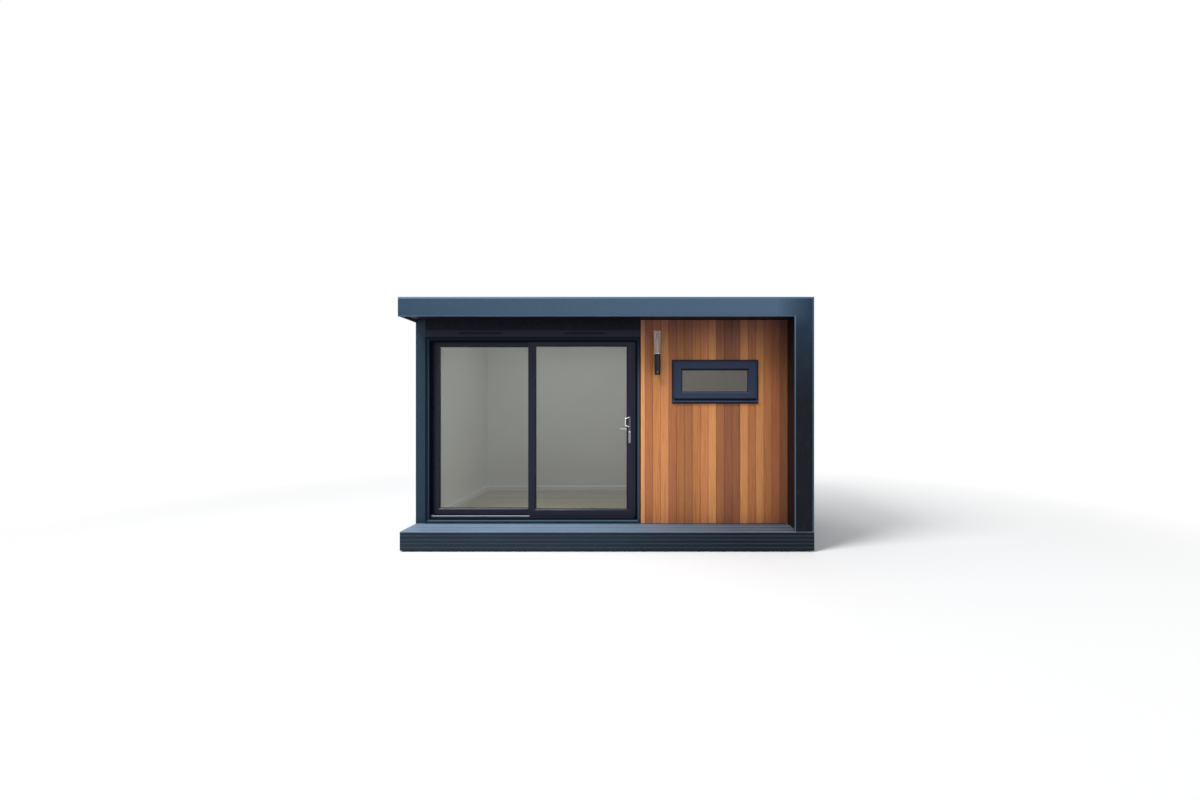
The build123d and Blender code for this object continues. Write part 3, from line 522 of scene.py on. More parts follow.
class Surface(Nodes):
    """A material under construction, with one Principled shader, kept among the finishes by its name."""

    def __init__(self, name):
        self.material = bpy.data.materials.new(name)
        FINISHES[name] = self.material
        super().__init__(self.material)
        self.shader = self.tree.nodes.new("ShaderNodeBsdfPrincipled")
        self.end = self.add("ShaderNodeOutputMaterial", {"Surface": Socket(self, self.shader.outputs[0])})
        self.place = self.add("ShaderNodeTexCoord", output="Object")

    def shade(self, values):
        """Set or link sockets of the shader by name."""
        for name, value in values.items():
            self.feed(self.shader.inputs[name], value)

    def cover(self, first, second, amount):
        """Show an amount of a second shader over a first one."""
        self.feed(self.end.inputs["Surface"],
                  self.add("ShaderNodeMixShader", {"Fac": amount, 1: first, 2: second}))

    def see_through(self, tint, amount):
        """Let light straight through, tinted, except for the amount that the shader covers."""
        clear = self.add("ShaderNodeBsdfTransparent", {"Color": tint})
        self.cover(clear, Socket(self, self.shader.outputs[0]), amount)

    def stretched(self, scale, shift=(0, 0, 0)):
        """Object coordinates, scaled on each axis and moved."""
        return self.add("ShaderNodeMapping", {"Vector": self.place, "Scale": scale, "Location": shift})

    def drawn_out(self, axis, along, across=1.0):
        """Object coordinates with one scale along an axis and another across it."""
        return self.stretched(tuple(along if axis == name else across for name in "XYZ"))

    def scaled(self, vector, scale):
        """A vector scaled on each axis."""
        return self.add("ShaderNodeVectorMath", {0: vector, 1: scale}, operation="MULTIPLY")

    def noise(self, vector, scale, detail=3.0, roughness=0.55, distortion=0.0):
        """Smooth noise from 0 to 1."""
        return self.add("ShaderNodeTexNoise", {"Vector": vector, "Scale": scale, "Detail": detail,
                                               "Roughness": roughness, "Distortion": distortion})

    def part(self, vector, axis):
        """One coordinate of a vector."""
        return self.add("ShaderNodeSeparateXYZ", {0: vector}, axis)

    def at(self, axis):
        """One object coordinate."""
        return self.part(self.place, axis)

    def facing(self, axis):
        """One part of the direction that the surface faces."""
        return self.part(self.add("ShaderNodeNewGeometry", output="Normal"), axis)

    def vector(self, x, y, z):
        """A vector from three values."""
        return self.add("ShaderNodeCombineXYZ", {0: x, 1: y, 2: z})

    def blend(self, factor, first, second, blend_type="MIX"):
        """A colour between two colours."""
        return self.add("ShaderNodeMix", {0: factor, 6: first, 7: second}, 2, data_type="RGBA",
                        blend_type=blend_type)

    def shades(self, factor, colour, darker, lighter):
        """A colour between a darker and a lighter shade of it."""
        return self.blend(factor, shade_of(colour, darker), shade_of(colour, lighter))

    def tinted(self, factor, first, second):
        """A colour multiplied by another, by a factor."""
        return self.blend(factor, first, second, "MULTIPLY")

    def ramp(self, value, stops):
        """A colour picked from a row of colours by a value."""
        node = self.tree.nodes.new("ShaderNodeValToRGB")
        self.feed(node.inputs[0], value)
        marks = node.color_ramp.elements
        while len(marks) < len(stops):
            marks.new(1.0)
        for mark, (position, colour) in zip(marks, stops):
            mark.position = position
            mark.color = tuple(colour) + (1.0,)
        return Socket(self, node.outputs[0])

    def fit(self, value, low, high, new_low=0.0, new_high=1.0):
        """A value mapped from one range to another, clamped."""
        inputs = dict(enumerate((value, low, high, new_low, new_high)))
        return self.add("ShaderNodeMapRange", inputs, clamp=True)

    def slope(self, power):
        """0 where the surface is seen square on, up to 1 at its outline, raised to a power."""
        return self.add("ShaderNodeLayerWeight", {"Blend": 0.5}, "Facing") ** power

    def slant(self):
        """1 on bevels and rounded edges, 0 on faces square to the object."""
        parts = [self.maths("ABSOLUTE", self.facing(axis)) for axis in ("X", "Y", "Z")]
        return self.fit(self.largest(*parts), 0.975, 0.955)

    def bump(self, height, strength, distance, normal=None):
        """A bumped normal; heights are in units of the distance."""
        inputs = {"Strength": strength, "Distance": distance, "Height": height}
        if normal is not None:
            inputs["Normal"] = normal
        return self.add("ShaderNodeBump", inputs)


def shade_of(colour, factor):
    """A colour made lighter or darker."""
    return tuple(min(1.0, channel * factor) for channel in colour)


# Finishes

def coated_metal(name, colour, roughness=0.42, shine=0.22, wear_and_painted_light=None, inside=None):
    """Powder-coated steel: fine orange peel and a trace of dust.

    Two painted-light colours give a painted sky reflection and painted shade, with a painted highlight on the
    bevels, and one inside colour puts painted shade on the faces towards the left.
    """
    surface = Surface(name)
    slow = surface.noise(surface.stretched((0.5, 0.5, 0.3)), 1.0, 1.0)
    fine = surface.noise(surface.place, 420.0, 2.0)
    dust = surface.fit(surface.noise(surface.drawn_out("Z", 0.5), 14.0, 5.0, 0.65), 0.50, 0.80)
    base = surface.shades(surface.fit(slow, 0.3, 0.7), colour, 0.95, 1.05)
    # Painted sky reflection high on the canopy, painted shade low on its leg, and a painted highlight on its
    # bevels
    if wear_and_painted_light:
        base = surface.blend(surface.slant() * 0.5, canopy_painted_light(surface, base, *wear_and_painted_light), shade_of(wear_and_painted_light[0], 1.7))
    # Painted shade on the faces towards the left
    if inside:
        base = surface.blend(surface.fit(surface.facing("X"), -0.5, -0.9), base, inside)
    dusty = surface.blend(dust * 0.035, base, (0.20, 0.21, 0.215))
    surface.shade({
        "Base Color": surface.blend(surface.fit(fine, 0.62, 0.75) * 0.10, dusty, shade_of(colour, 2.6)),
        "Roughness": surface.fit(slow + dust * 0.2, 0.3, 0.9, roughness - 0.03, roughness + 0.07),
        "Normal": surface.bump(fine, 0.06, 0.0005),
        "Specular IOR Level": shine,
    })


def canopy_painted_light(surface, base, sky_reflection, painted_shade):
    """Painted sky reflection on the canopy's trim high up, and painted shade low down on its leg."""
    x, z = surface.at("X"), surface.at("Z")
    along = surface.fit(x, *SKY_LEFT, 0.27, 1.0) * surface.fit(x, *SKY_RIGHT)
    high_up = surface.fit(z, *SKY_HEIGHTS) * along
    low_down = surface.fit(z, *LEG_HEIGHTS) * surface.fit(x, *LEG_WIDTH)
    return surface.blend(low_down, surface.blend(high_up, base, sky_reflection), painted_shade)


def grained_foil(name, colour, run="Z", shine=0.25, sky=None, daylit=None):
    """Foil with a fine embossed wood grain, as on plastic frames.

    Bevels that face up get a painted highlight, in a sky colour where one is given, which also goes weaker on
    the bevels that face right; daylit colours go on the foot and the right edge, and bevels that face down
    get painted shade.
    """
    surface = Surface(name)
    grain = surface.noise(surface.drawn_out(run, 0.12), 520.0, 3.0, 0.6)
    slow = surface.noise(surface.place, 3.0, 2.0)
    foil = surface.shades(surface.fit(grain, 0.35, 0.7), colour, 0.85, 1.18)
    if daylit:
        foil = daylit_foil(surface, foil, *daylit)
    slant = surface.slant()
    # Painted highlight on bevels that face up
    ledge = slant * surface.fit(surface.facing("Z"), 0.20, 0.30)
    if sky:
        turned = slant * surface.fit(surface.facing("X"), 0.20, 0.30) * 0.25
        lit = surface.blend(surface.largest(ledge, turned), foil, sky)
    else:
        lit = surface.blend(ledge * 0.5, foil, tuple(channel * 2.0 + 0.012 for channel in colour))
    # Painted shade on bevels that face down
    shaded_bevel = slant * surface.fit(surface.facing("Z"), -0.20, -0.30)
    surface.shade({
        "Base Color": surface.blend(shaded_bevel * 0.8, lit, shade_of(colour, 0.15)),
        "Roughness": surface.fit(slow, 0.3, 0.7, 0.34, 0.46),
        "Normal": surface.bump(grain, 0.16, 0.0006),
        "Specular IOR Level": shine,
    })


def daylit_foil(surface, foil, foot_colour, foot, edge_colour, edge):
    """Lighter foil below a height, and past an edge on the right where the canopy lets light in."""
    z = surface.at("Z")
    low = surface.fit(z, foot + 0.004, foot - 0.004)
    right = surface.fit(surface.at("X"), edge - 0.004, edge + 0.004) * surface.fit(z, *JAMB_HEIGHTS)
    return surface.blend(low, surface.blend(right, foil, edge_colour), foot_colour)


def composite_board(name, colour, sky_lit_top_colour, run, first_groove):
    """Wood-and-plastic board: long pressed grain and streaks, painted sky light on its top with a painted
    highlight on its nose, a painted highlight under each groove and painted shade towards the right.
    """
    surface = Surface(name)
    fibre = surface.noise(surface.drawn_out(run, 0.04), 260.0, 4.0, 0.62)
    streak = surface.noise(surface.drawn_out(run, 0.010, 0.5), 60.0, 4.0, 0.6, 0.6)
    patch = surface.noise(surface.place, 2.2, 4.0, 0.6)
    tone = surface.fit(streak * 0.55 + fibre * 0.25 + patch * 0.20, 0.34, 0.66)
    upward = surface.facing("Z")
    # Painted shade towards the right end
    painted_shade = surface.fit(surface.at("X"), -0.4, 1.4)
    side = surface.shades(tone, colour, 0.70, 1.30)
    side = surface.tinted(painted_shade, side, (0.36, 0.35, 0.38))
    # Painted sky light on the top
    top = surface.shades(tone, sky_lit_top_colour, 0.74, 1.26)
    top = surface.tinted(painted_shade, top, (0.50, 0.41, 0.38))
    # Painted highlight on the rounded nose
    painted_nose_highlight = surface.fit(upward, 0.10, 0.35) * surface.fit(upward, 0.98, 0.90)
    top = surface.blend(painted_nose_highlight * 0.7, top, shade_of(sky_lit_top_colour, 1.9))
    # Distance below the middle of the nearest groove above, as a share of the pitch
    below = surface.maths("FRACT", (first_groove - surface.at("Z")) / SKIRT_GROOVE_PITCH)
    # Painted highlight on the lip below each groove
    wear_and_painted_light = surface.fit(below, 0.07, 0.10) * surface.fit(below, 0.30, 0.20)
    edged = surface.blend(wear_and_painted_light * 0.55, side, shade_of(colour, 2.3))
    surface.shade({
        "Base Color": surface.blend(surface.fit(upward, 0.10, 0.50), edged, top),
        "Roughness": surface.fit(tone, 0.0, 1.0, 0.62, 0.46),
        "Normal": surface.bump(fibre * 0.6 + streak * 0.4, 0.45, 0.0012),
        "Specular IOR Level": 0.15,
    })


def cedar(name, colours, board_width, first_board):
    """Oiled cedar: each board has its own tone and hue and its own upright grain with growth rings."""
    pale, middle, deep = colours
    surface = Surface(name)
    x, y, z = (surface.at(axis) for axis in ("X", "Y", "Z"))
    across = (x - first_board) / board_width
    board = surface.maths("FLOOR", across)
    lot, second_lot, third_lot = (
        surface.add("ShaderNodeTexWhiteNoise", {"W": board * step + shift}, "Value", noise_dimensions="1D")
        for step, shift in ((1.0, 6.37), (1.7, 41.9), (2.3, 77.1)))
    # Each board looks at its own stretch of wood
    own = surface.vector(x + lot * 9.0, y + second_lot * 5.0, z + lot * 17.0)
    slow = surface.noise(surface.scaled(own, (7.0, 5.0, 0.45)), 1.0, 2.0, 0.5, 0.3)
    rings = surface.maths("SINE", slow * 26.0 + (x + lot) * 420.0 * (0.35 + second_lot * 0.65)) * 0.5 + 0.5
    fibre = surface.noise(surface.scaled(own, (1.0, 1.0, 0.020)), 330.0, 4.0, 0.65)
    pore = surface.noise(surface.scaled(own, (1.0, 1.0, 0.010)), 900.0, 2.0, 0.6)
    streak = surface.noise(surface.scaled(own, (1.0, 1.0, 0.022)), 95.0, 3.0, 0.6)
    cloud = surface.noise(surface.scaled(own, (8.0, 3.0, 0.6)), 1.6, 3.0, 0.6)
    drift = surface.fit(across, -1.0, 18.0, 0.26, -0.06) + surface.fit(across, 0.02, -0.02) * 0.5
    tone = surface.add("ShaderNodeClamp", {0: lot * 0.82 + drift + (cloud - 0.5) * 0.30 - 0.04})
    between = tuple((low + high) / 2 for low, high in zip(deep, middle))
    wood = surface.ramp(tone, ((0.0, deep), (0.30, between), (0.58, middle), (1.0, pale)))
    hued = surface.tinted(surface.fit(third_lot, 0.45, 1.0) * 0.75, wood, (1.0, 0.88, 1.12))
    late_wood = rings ** 3.0 * surface.fit(fibre, 0.3, 0.7, 0.35, 1.0)
    lined = surface.tinted(late_wood * 0.26, hued, (0.60, 0.44, 0.34))
    streaked = surface.tinted(surface.fit(streak, 0.50, 0.68) * 0.55, lined, (0.66, 0.52, 0.44))
    fibred = surface.tinted(surface.fit(fibre, 0.48, 0.72) * 0.36, streaked, (0.62, 0.48, 0.38))
    pored = surface.tinted(surface.fit(pore, 0.58, 0.75) * 0.4, fibred, (0.45, 0.33, 0.27))
    # Darker towards the foot, and painted shade under the canopy
    dark = surface.largest(surface.fit(z, 0.21, 0.34, 0.16, 0.0), surface.fit(z, 2.02, 2.42, 0.0, 0.75))
    surface.shade({
        "Base Color": surface.tinted(dark, pored, (0.30, 0.26, 0.72)),
        "Roughness": surface.fit(fibre - rings * 0.15, 0.2, 0.7, 0.66, 0.50),
        "Normal": surface.bump(fibre * 0.5 + rings * 0.2 + pore * 0.3, 0.35, 0.0011),
        "Specular IOR Level": 0.35,
    })


def laminate(name, colour):
    """Laminate floor boards, each with its own tone, with a fine bevel at every joint."""
    surface = Surface(name)
    layout = {"Vector": surface.stretched((1.0, 1.0, 1.0), (0.31, 0.07, 0.0)), "Scale": 1.0, "Bias": 0.0,
              "Mortar Size": 0.0016, "Mortar Smooth": 0.2, "Brick Width": 1.285, "Row Height": 0.192,
              "Color1": (0, 0, 0), "Color2": (1, 1, 1), "Mortar": (0.5, 0.5, 0.5)}
    tones, joints = (surface.add("ShaderNodeTexBrick", layout, output, offset=0.37, offset_frequency=2)
                     for output in ("Color", "Fac"))
    x, y, z = (surface.at(axis) for axis in ("X", "Y", "Z"))
    tone = surface.add("ShaderNodeRGBToBW", {0: tones})
    own = surface.vector(x * 0.05 + tone * 3.0, y + tone * 7.0, z)
    grain = surface.noise(own, 90.0, 5.0, 0.62, 0.8)
    rings = surface.noise(own, 22.0, 3.0, 0.5, 1.6)
    mixed = surface.fit(grain * 0.45 + rings * 0.25 + tone * 0.30, 0.25, 0.75)
    base = surface.shades(mixed, colour, 0.72, 1.22)
    surface.shade({
        "Base Color": surface.tinted(joints * 0.7, base, (0.35, 0.30, 0.25)),
        "Roughness": surface.fit(grain, 0.3, 0.7, 0.40, 0.30),
        "Normal": surface.bump(grain * 0.12 - joints, 0.35, 0.0010),
    })


def rolled_paint(name, colour, roughness=0.62, texture=0.10):
    """Wall paint put on with a roller."""
    surface = Surface(name)
    stipple = surface.noise(surface.place, 260.0, 3.0, 0.6)
    slow = surface.noise(surface.place, 1.3, 3.0)
    surface.shade({
        "Base Color": surface.shades(surface.fit(slow, 0.3, 0.7), colour, 0.965, 1.01),
        "Roughness": surface.fit(stipple, 0.3, 0.7, roughness - 0.04, roughness + 0.04),
        "Normal": surface.bump(stipple, texture, 0.0006),
    })


def sawn_timber(name, colour, run):
    """Rough-sawn treated timber with grain along its run and saw marks across it."""
    surface = Surface(name)
    grain = surface.noise(surface.drawn_out(run, 0.05), 110.0, 5.0, 0.65, 0.5)
    saw = surface.noise(surface.drawn_out(run, 1.0, 0.04), 240.0, 2.0)
    stain = surface.noise(surface.place, 4.0, 4.0)
    base = surface.shades(surface.fit(grain, 0.3, 0.7), colour, 0.6, 1.25)
    surface.shade({
        "Base Color": surface.blend(surface.fit(stain, 0.45, 0.7) * 0.4, base, (0.20, 0.24, 0.13)),
        "Roughness": surface.fit(grain, 0.2, 0.8, 0.88, 0.72),
        "Normal": surface.bump(grain * 0.6 + saw * 0.4, 0.5, 0.0012),
    })


def strand_board(name):
    """Sheet of pressed wood strands."""
    surface = Surface(name)
    strands = surface.drawn_out("Y", 0.35)
    flakes = surface.add("ShaderNodeTexVoronoi", {"Vector": strands, "Scale": 42.0}, "Color")
    tone = surface.add("ShaderNodeRGBToBW", {0: flakes})
    fibre = surface.noise(surface.place, 300.0, 3.0)
    surface.shade({
        "Base Color": surface.blend(surface.fit(tone * 0.8 + fibre * 0.2, 0.2, 0.8), (0.30, 0.19, 0.09),
                                    (0.60, 0.44, 0.25)),
        "Roughness": surface.fit(fibre, 0.2, 0.8, 0.75, 0.62),
        "Normal": surface.bump(tone, 0.3, 0.0008),
    })


def roof_sheet(name, colour):
    """Rubber roof sheet: matt, with slow ripples, talc and dried water marks."""
    surface = Surface(name)
    ripple = surface.noise(surface.drawn_out("Y", 0.6), 2.6, 3.0, 0.5, 0.4)
    fine = surface.noise(surface.place, 180.0, 3.0)
    marks = surface.fit(surface.noise(surface.place, 5.0, 6.0, 0.7, 0.8), 0.48, 0.66)
    base = surface.shades(surface.fit(ripple, 0.35, 0.65), colour, 0.85, 1.3)
    surface.shade({
        "Base Color": surface.blend(marks * 0.28, base, (0.115, 0.115, 0.11)),
        "Roughness": surface.fit(marks, 0.0, 1.0, 0.62, 0.82),
        "Normal": surface.bump(ripple, 0.5, 0.010, surface.bump(fine, 0.12, 0.0006)),
    })


def crumb_rubber(name):
    """Pads pressed from rubber crumb."""
    surface = Surface(name)
    crumbs = surface.add("ShaderNodeTexVoronoi", {"Vector": surface.place, "Scale": 260.0})
    tone = surface.noise(surface.place, 120.0, 3.0)
    surface.shade({
        "Base Color": surface.blend(surface.fit(tone, 0.4, 0.7), (0.018, 0.018, 0.019),
                                    (0.070, 0.068, 0.065)),
        "Roughness": surface.fit(tone, 0.3, 0.7, 0.92, 0.80),
        "Normal": surface.bump(crumbs, 0.6, 0.0015),
    })


def moulded_plastic(name, colour, roughness, texture=0.05, shine=0.5):
    """Moulded plastic or rubber with a faint texture."""
    surface = Surface(name)
    fine = surface.noise(surface.place, 300.0, 2.0)
    slow = surface.noise(surface.place, 4.0, 3.0)
    surface.shade({
        "Base Color": surface.shades(surface.fit(slow, 0.3, 0.7), colour, 0.88, 1.12),
        "Roughness": surface.fit(slow, 0.3, 0.7, roughness - 0.05, roughness + 0.06),
        "Normal": surface.bump(fine, texture, 0.0005),
        "Specular IOR Level": shine,
    })


def door_rail(name, bright, dark, split_height, bright_end):
    """Extruded aluminium rail with faint lines; dark plastic below a height and past its bright end."""
    surface = Surface(name)
    lines = surface.noise(surface.drawn_out("X", 0.01), 500.0, 2.0, 0.6)
    scuff = surface.fit(surface.noise(surface.place, 30.0, 4.0), 0.4, 0.7)
    metal = (surface.fit(surface.at("Z"), split_height - 0.0003, split_height + 0.0003)
             * surface.fit(surface.at("X"), bright_end + 0.0003, bright_end - 0.0003))
    wear_and_painted_light = surface.blend(scuff * 0.3, bright, shade_of(bright, 0.75))
    surface.shade({
        "Base Color": surface.blend(metal, dark, wear_and_painted_light),
        "Metallic": metal,
        "Roughness": surface.fit(lines * 0.6 + scuff * 0.4, 0.2, 0.8, 0.30, 0.46),
        "Normal": surface.bump(lines, 0.08, 0.0003),
    })


def polished_metal(name, colour, roughness, lens=None):
    """Plated metal, polished, with finger marks in its gloss; a lens colour goes below a height."""
    surface = Surface(name)
    smear = surface.noise(surface.drawn_out("Z", 0.5), 55.0, 4.0, 0.6)
    base = surface.blend(surface.fit(smear, 0.4, 0.7) * 0.2, colour, shade_of(colour, 0.85))
    if lens:
        height, dark = lens
        below = surface.fit(surface.at("Z"), height + 0.001, height - 0.001)
        base = surface.blend(below, base, dark)
    surface.shade({
        "Base Color": base,
        "Metallic": 1.0,
        "Roughness": surface.fit(smear, 0.35, 0.75, roughness, roughness + 0.10),
    })


def handle_plate(name, bright, dull, plate_face):
    """Plated handle: a polished grip in front of a satin plate, with brush lines down the plate and a painted
    dark reflection on the plate above the handle's height.
    """
    surface = Surface(name)
    lines = surface.noise(surface.drawn_out("Z", 0.02), 900.0, 2.0)
    smear = surface.noise(surface.drawn_out("Z", 0.5), 55.0, 4.0, 0.6)
    plate = surface.fit(surface.at("Y"), plate_face - 0.0005, plate_face)
    # Painted dark reflection on the plate above the handle's height
    painted_dark_reflection = surface.fit(surface.at("Z"), HANDLE_HEIGHT - 0.05, HANDLE_HEIGHT)
    dulled = surface.shades(surface.fit(lines, 0.3, 0.7), dull, 0.86, 1.1)
    dulled = surface.tinted(painted_dark_reflection, dulled, (0.40, 0.40, 0.42))
    surface.shade({
        "Base Color": surface.blend(plate, surface.blend(surface.fit(smear, 0.4, 0.7) * 0.2, bright,
                                                         shade_of(bright, 0.85)), dulled),
        "Metallic": 1.0,
        "Roughness": surface.fit(plate + smear * 0.3, 0.1, 1.2, 0.10, 0.32),
    })


def sheet_glass(name, tint):
    """Clear sheet glass: light goes straight through, and more of it is reflected at low angles."""
    surface = Surface(name)
    smear = surface.noise(surface.drawn_out("Z", 0.6), 6.0, 4.0, 0.6)
    surface.shade({
        "Base Color": (0.9, 0.93, 0.92),
        "Roughness": surface.fit(smear, 0.45, 0.8, 0.0, 0.05),
        "Metallic": 1.0,
    })
    surface.see_through(tint, surface.slope(5.0) * 0.96 + 0.030)


def lamp_glass(name):
    """Glass of the lamp's tube: nearly clear in the middle, veiled at its sides, with a painted highlight on
    its side that faces left.
    """
    surface = Surface(name)
    etch = surface.noise(surface.place, 60.0, 3.0)
    surface.shade({
        "Base Color": surface.blend(surface.fit(etch, 0.3, 0.7), (0.62, 0.55, 0.52), (0.72, 0.65, 0.62)),
        "Roughness": surface.fit(etch, 0.3, 0.7, 0.10, 0.22),
    })
    # Painted highlight on the side that faces left
    painted_left_highlight = surface.fit(surface.facing("X"), -0.45, -0.85) * 0.45
    surface.see_through((0.97, 0.96, 0.95), surface.slope(2.0) * 0.30 + painted_left_highlight + 0.14)


def board_layout():
    """The left edge of the first full board, and the width that each board covers."""
    sizes = bpy.context.scene.pod_cladding
    low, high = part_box("cedar_cladding")
    first_board = low.x + sizes.strip_width
    return first_board, (high.x - first_board) / sizes.board_count


def leaf_right():
    """The right edge of the sliding leaf, whose border is as wide at the side as at the top."""
    glass_high, sash_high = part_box("sliding_glass")[1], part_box("sliding_sash")[1]
    return glass_high.x + sash_high.z - glass_high.z


def make_finishes(colours, fixing):
    """Make every material once."""
    first_board, board_width = board_layout()
    frame_low, frame_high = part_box("door_frame")
    daylit = (colours.sill_foil, frame_low.z + fixing.door_frame_face,
              colours.jamb_foil, frame_high.x - fixing.door_frame_face * DAYLIT_SHARE)
    lamp_low, lamp_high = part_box("lamp_body")
    lamp_middle = (lamp_low.z + lamp_high.z) / 2
    bright_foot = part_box("track_rails")[1].z - fixing.rail_bright
    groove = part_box("front_skirt")[1].z - SKIRT_FIRST_GROOVE
    plate_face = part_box("sliding_sash")[0].y - fixing.plate_face
    wood = (colours.cedar_pale, colours.cedar_mid, colours.cedar_deep)
    # Painted sky light on the top of the skirts
    skirt_painted_top = shade_of(colours.skirt, 1.5)
    coated_metal("anthracite_trim", colours.metal)
    # The canopy gets a painted sky reflection high up and painted shade low on its leg
    coated_metal("anthracite_canopy", colours.metal, 0.42, 0.12, (colours.sky_reflection_metal, colours.shaded_leg_metal))
    coated_metal("anthracite_panel", colours.panel, 0.50)
    coated_metal("anthracite_wing", colours.panel, 0.50, inside=colours.shaded_wing_inside)
    coated_metal("anthracite_header", colours.header, 0.50, 0.16)
    grained_foil("foil_upright", colours.foil, "Z")
    grained_foil("foil_level", colours.foil, "X")
    # The sky colours are painted highlights on the bevels that face up
    grained_foil("frame_upright", colours.frame_foil, "Z", 0.10, colours.ledge_foil, daylit)
    grained_foil("window_frame_foil", colours.window_foil, "X", 0.12, shade_of(colours.window_foil, 1.25))
    grained_foil("window_sash_foil", colours.window_foil, "X", 0.12, colours.window_ledge)
    composite_board("deck_board", shade_of(colours.skirt, 1.3), colours.deck, "X", groove)
    composite_board("skirt_board", colours.skirt, skirt_painted_top, "X", groove)
    composite_board("side_skirt_board", colours.skirt, skirt_painted_top, "Y", groove)
    cedar("oiled_cedar", wood, board_width, first_board)
    laminate("oak_laminate", colours.laminate)
    rolled_paint("white_lining", colours.lining)
    rolled_paint("white_gloss", shade_of(colours.lining, 1.02), 0.34, 0.04)
    sawn_timber("treated_joist", colours.timber, "Y")
    sawn_timber("treated_rim", colours.timber, "X")
    strand_board("strand_board")
    roof_sheet("rubber_sheet", colours.rubber)
    crumb_rubber("crumb_rubber")
    moulded_plastic("gutter_plastic", colours.gutter, 0.30)
    moulded_plastic("roller_nylon", colours.roller, 0.5)
    moulded_plastic("black_seal", colours.seal, 0.62, 0.12, 0.06)
    moulded_plastic("brush_pile", colours.brush, 0.70, 0.30, 0.04)
    door_rail("rail_aluminium", colours.aluminium, colours.rail_foot, bright_foot, leaf_right())
    door_rail("threshold_aluminium", colours.aluminium, colours.aluminium, 0.0, 9.0)
    polished_metal("handle_chrome", colours.chrome, 0.12)
    handle_plate("outer_handle_chrome", colours.grip, colours.plate, plate_face)
    polished_metal("cylinder_brass", colours.brass, 0.22)
    polished_metal("lamp_silver", colours.silver, 0.30, (lamp_middle, colours.lens))
    polished_metal("satin_silver", colours.silver, 0.30)
    coated_metal("lamp_black", colours.lamp_black, 0.36)
    sheet_glass("clear_glass", colours.glass)
    sheet_glass("window_glass", colours.window_tint)
    lamp_glass("lamp_glass")
    rolled_paint("lamp_diffuser", colours.lamp_core, 0.45, 0.03)


NODE_FINISHES = {
    "crumb_rubber": ["foundation_pads"],
    "treated_joist": ["floor_joists"],
    "treated_rim": ["rim_joists"],
    "strand_board": ["floor_deck"],
    "deck_board": ["deck_boards"],
    "skirt_board": ["front_skirt", "rear_skirt"],
    "side_skirt_board": ["side_skirts"],
    "oak_laminate": ["floor_finish"],
    "anthracite_panel": ["side_walls", "rear_wall", "front_wall", "roof_panel"],
    "anthracite_wing": ["wing_wall"],
    "anthracite_header": ["door_header", "soffit"],
    "anthracite_trim": ["corner_trims", "joint_covers"],
    "anthracite_canopy": ["front_fascia", "side_fascias", "rear_fascia", "leg_trim"],
    "white_lining": ["side_linings", "rear_lining", "front_lining", "header_lining", "ceiling"],
    "white_gloss": ["skirting_board", "window_reveal"],
    "rubber_sheet": ["roof_membrane"],
    "gutter_plastic": ["gutter", "downpipe"],
    "foil_upright": ["fixed_sash", "sliding_sash"],
    "foil_level": ["head_extender"],
    "frame_upright": ["door_frame"],
    "window_frame_foil": ["window_frame"],
    "window_sash_foil": ["window_sash"],
    "rail_aluminium": ["track_rails"],
    "roller_nylon": ["door_rollers"],
    "outer_handle_chrome": ["outer_handle"],
    "handle_chrome": ["inner_handle", "lock_lever"],
    "lamp_black": ["lamp_body"],
    "lamp_silver": ["lamp_trims"],
    "lamp_glass": ["lamp_tube"],
}


class POD_OT_finish_frame(bpy.types.Operator):
    """Give each part of the solid frame its finish"""

    bl_idname = "pod.finish_frame"
    bl_label = "Finish the Frame"

    def execute(self, context):
        make_finishes(context.scene.pod_finish, context.scene.pod_fixing)
        for finish, names in NODE_FINISHES.items():
            for name in names:
                node = NODES[name]
                node.data.materials.clear()
                node.data.materials.append(FINISHES[finish])
        return {"FINISHED"}


class POD_OT_cedar_boards(bpy.types.Operator):
    """Clad the bay with tongued cedar boards"""

    bl_idname = "pod.cedar_boards"
    bl_label = "Cedar Boards"

    def execute(self, context):
        sizes = context.scene.pod_cladding
        low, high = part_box("cedar_cladding")
        first_board, board_width = board_layout()
        edges = [low.x] + [first_board + index * board_width for index in range(sizes.board_count + 1)]
        draw = random.Random(sizes.seed)
        boards = []
        for left, right in zip(edges[:-1], edges[1:]):
            board = self.board(sizes, left, right, low, high, draw.random())
            boards.append(self.cut_for_window(board, left, right, sizes))
        cladding = join("cedar_boards", boards)
        smooth(20)
        finish_piece(cladding, "pod", "oiled_cedar")
        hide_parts("cedar_cladding")
        return {"FINISHED"}

    def board(self, sizes, left, right, low, high, chance):
        """One board: chamfered long edges in front, and a tongue on its right side."""
        front = low.y + sizes.board_step * chance
        board = start_box("board", (left + sizes.joint_gap / 2, front, low.z + sizes.foot_gap),
                          (right - sizes.joint_gap / 2, high.y, high.z - sizes.head_gap))
        with Editing(board, "EDGE") as edit:
            edit.pick_long_edges("z", lambda end: end.y < front + TOUCH)
            bpy.ops.mesh.bevel(offset=sizes.joint_chamfer, segments=2, affect="EDGES")
        if right < high.x - TOUCH:
            with Editing(board) as edit:
                edit.pick("faces", lambda face: face.normal.x > 0.99)
                edit.inset((high.y - front - sizes.tongue_thickness) / 2 - sizes.joint_chamfer)
                edit.extrude((sizes.joint_gap, 0, 0))
        return board

    def cut_for_window(self, board, left, right, sizes):
        """Cut a board back round the window frame and its weather bar, where they meet."""
        low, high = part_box("window_frame")
        gap = sizes.window_gap
        if right < low.x - gap or left > high.x + gap:
            return board
        reach = Vector((gap, gap, gap))
        return carve(board, start_box("cutter", low - reach, high + reach))


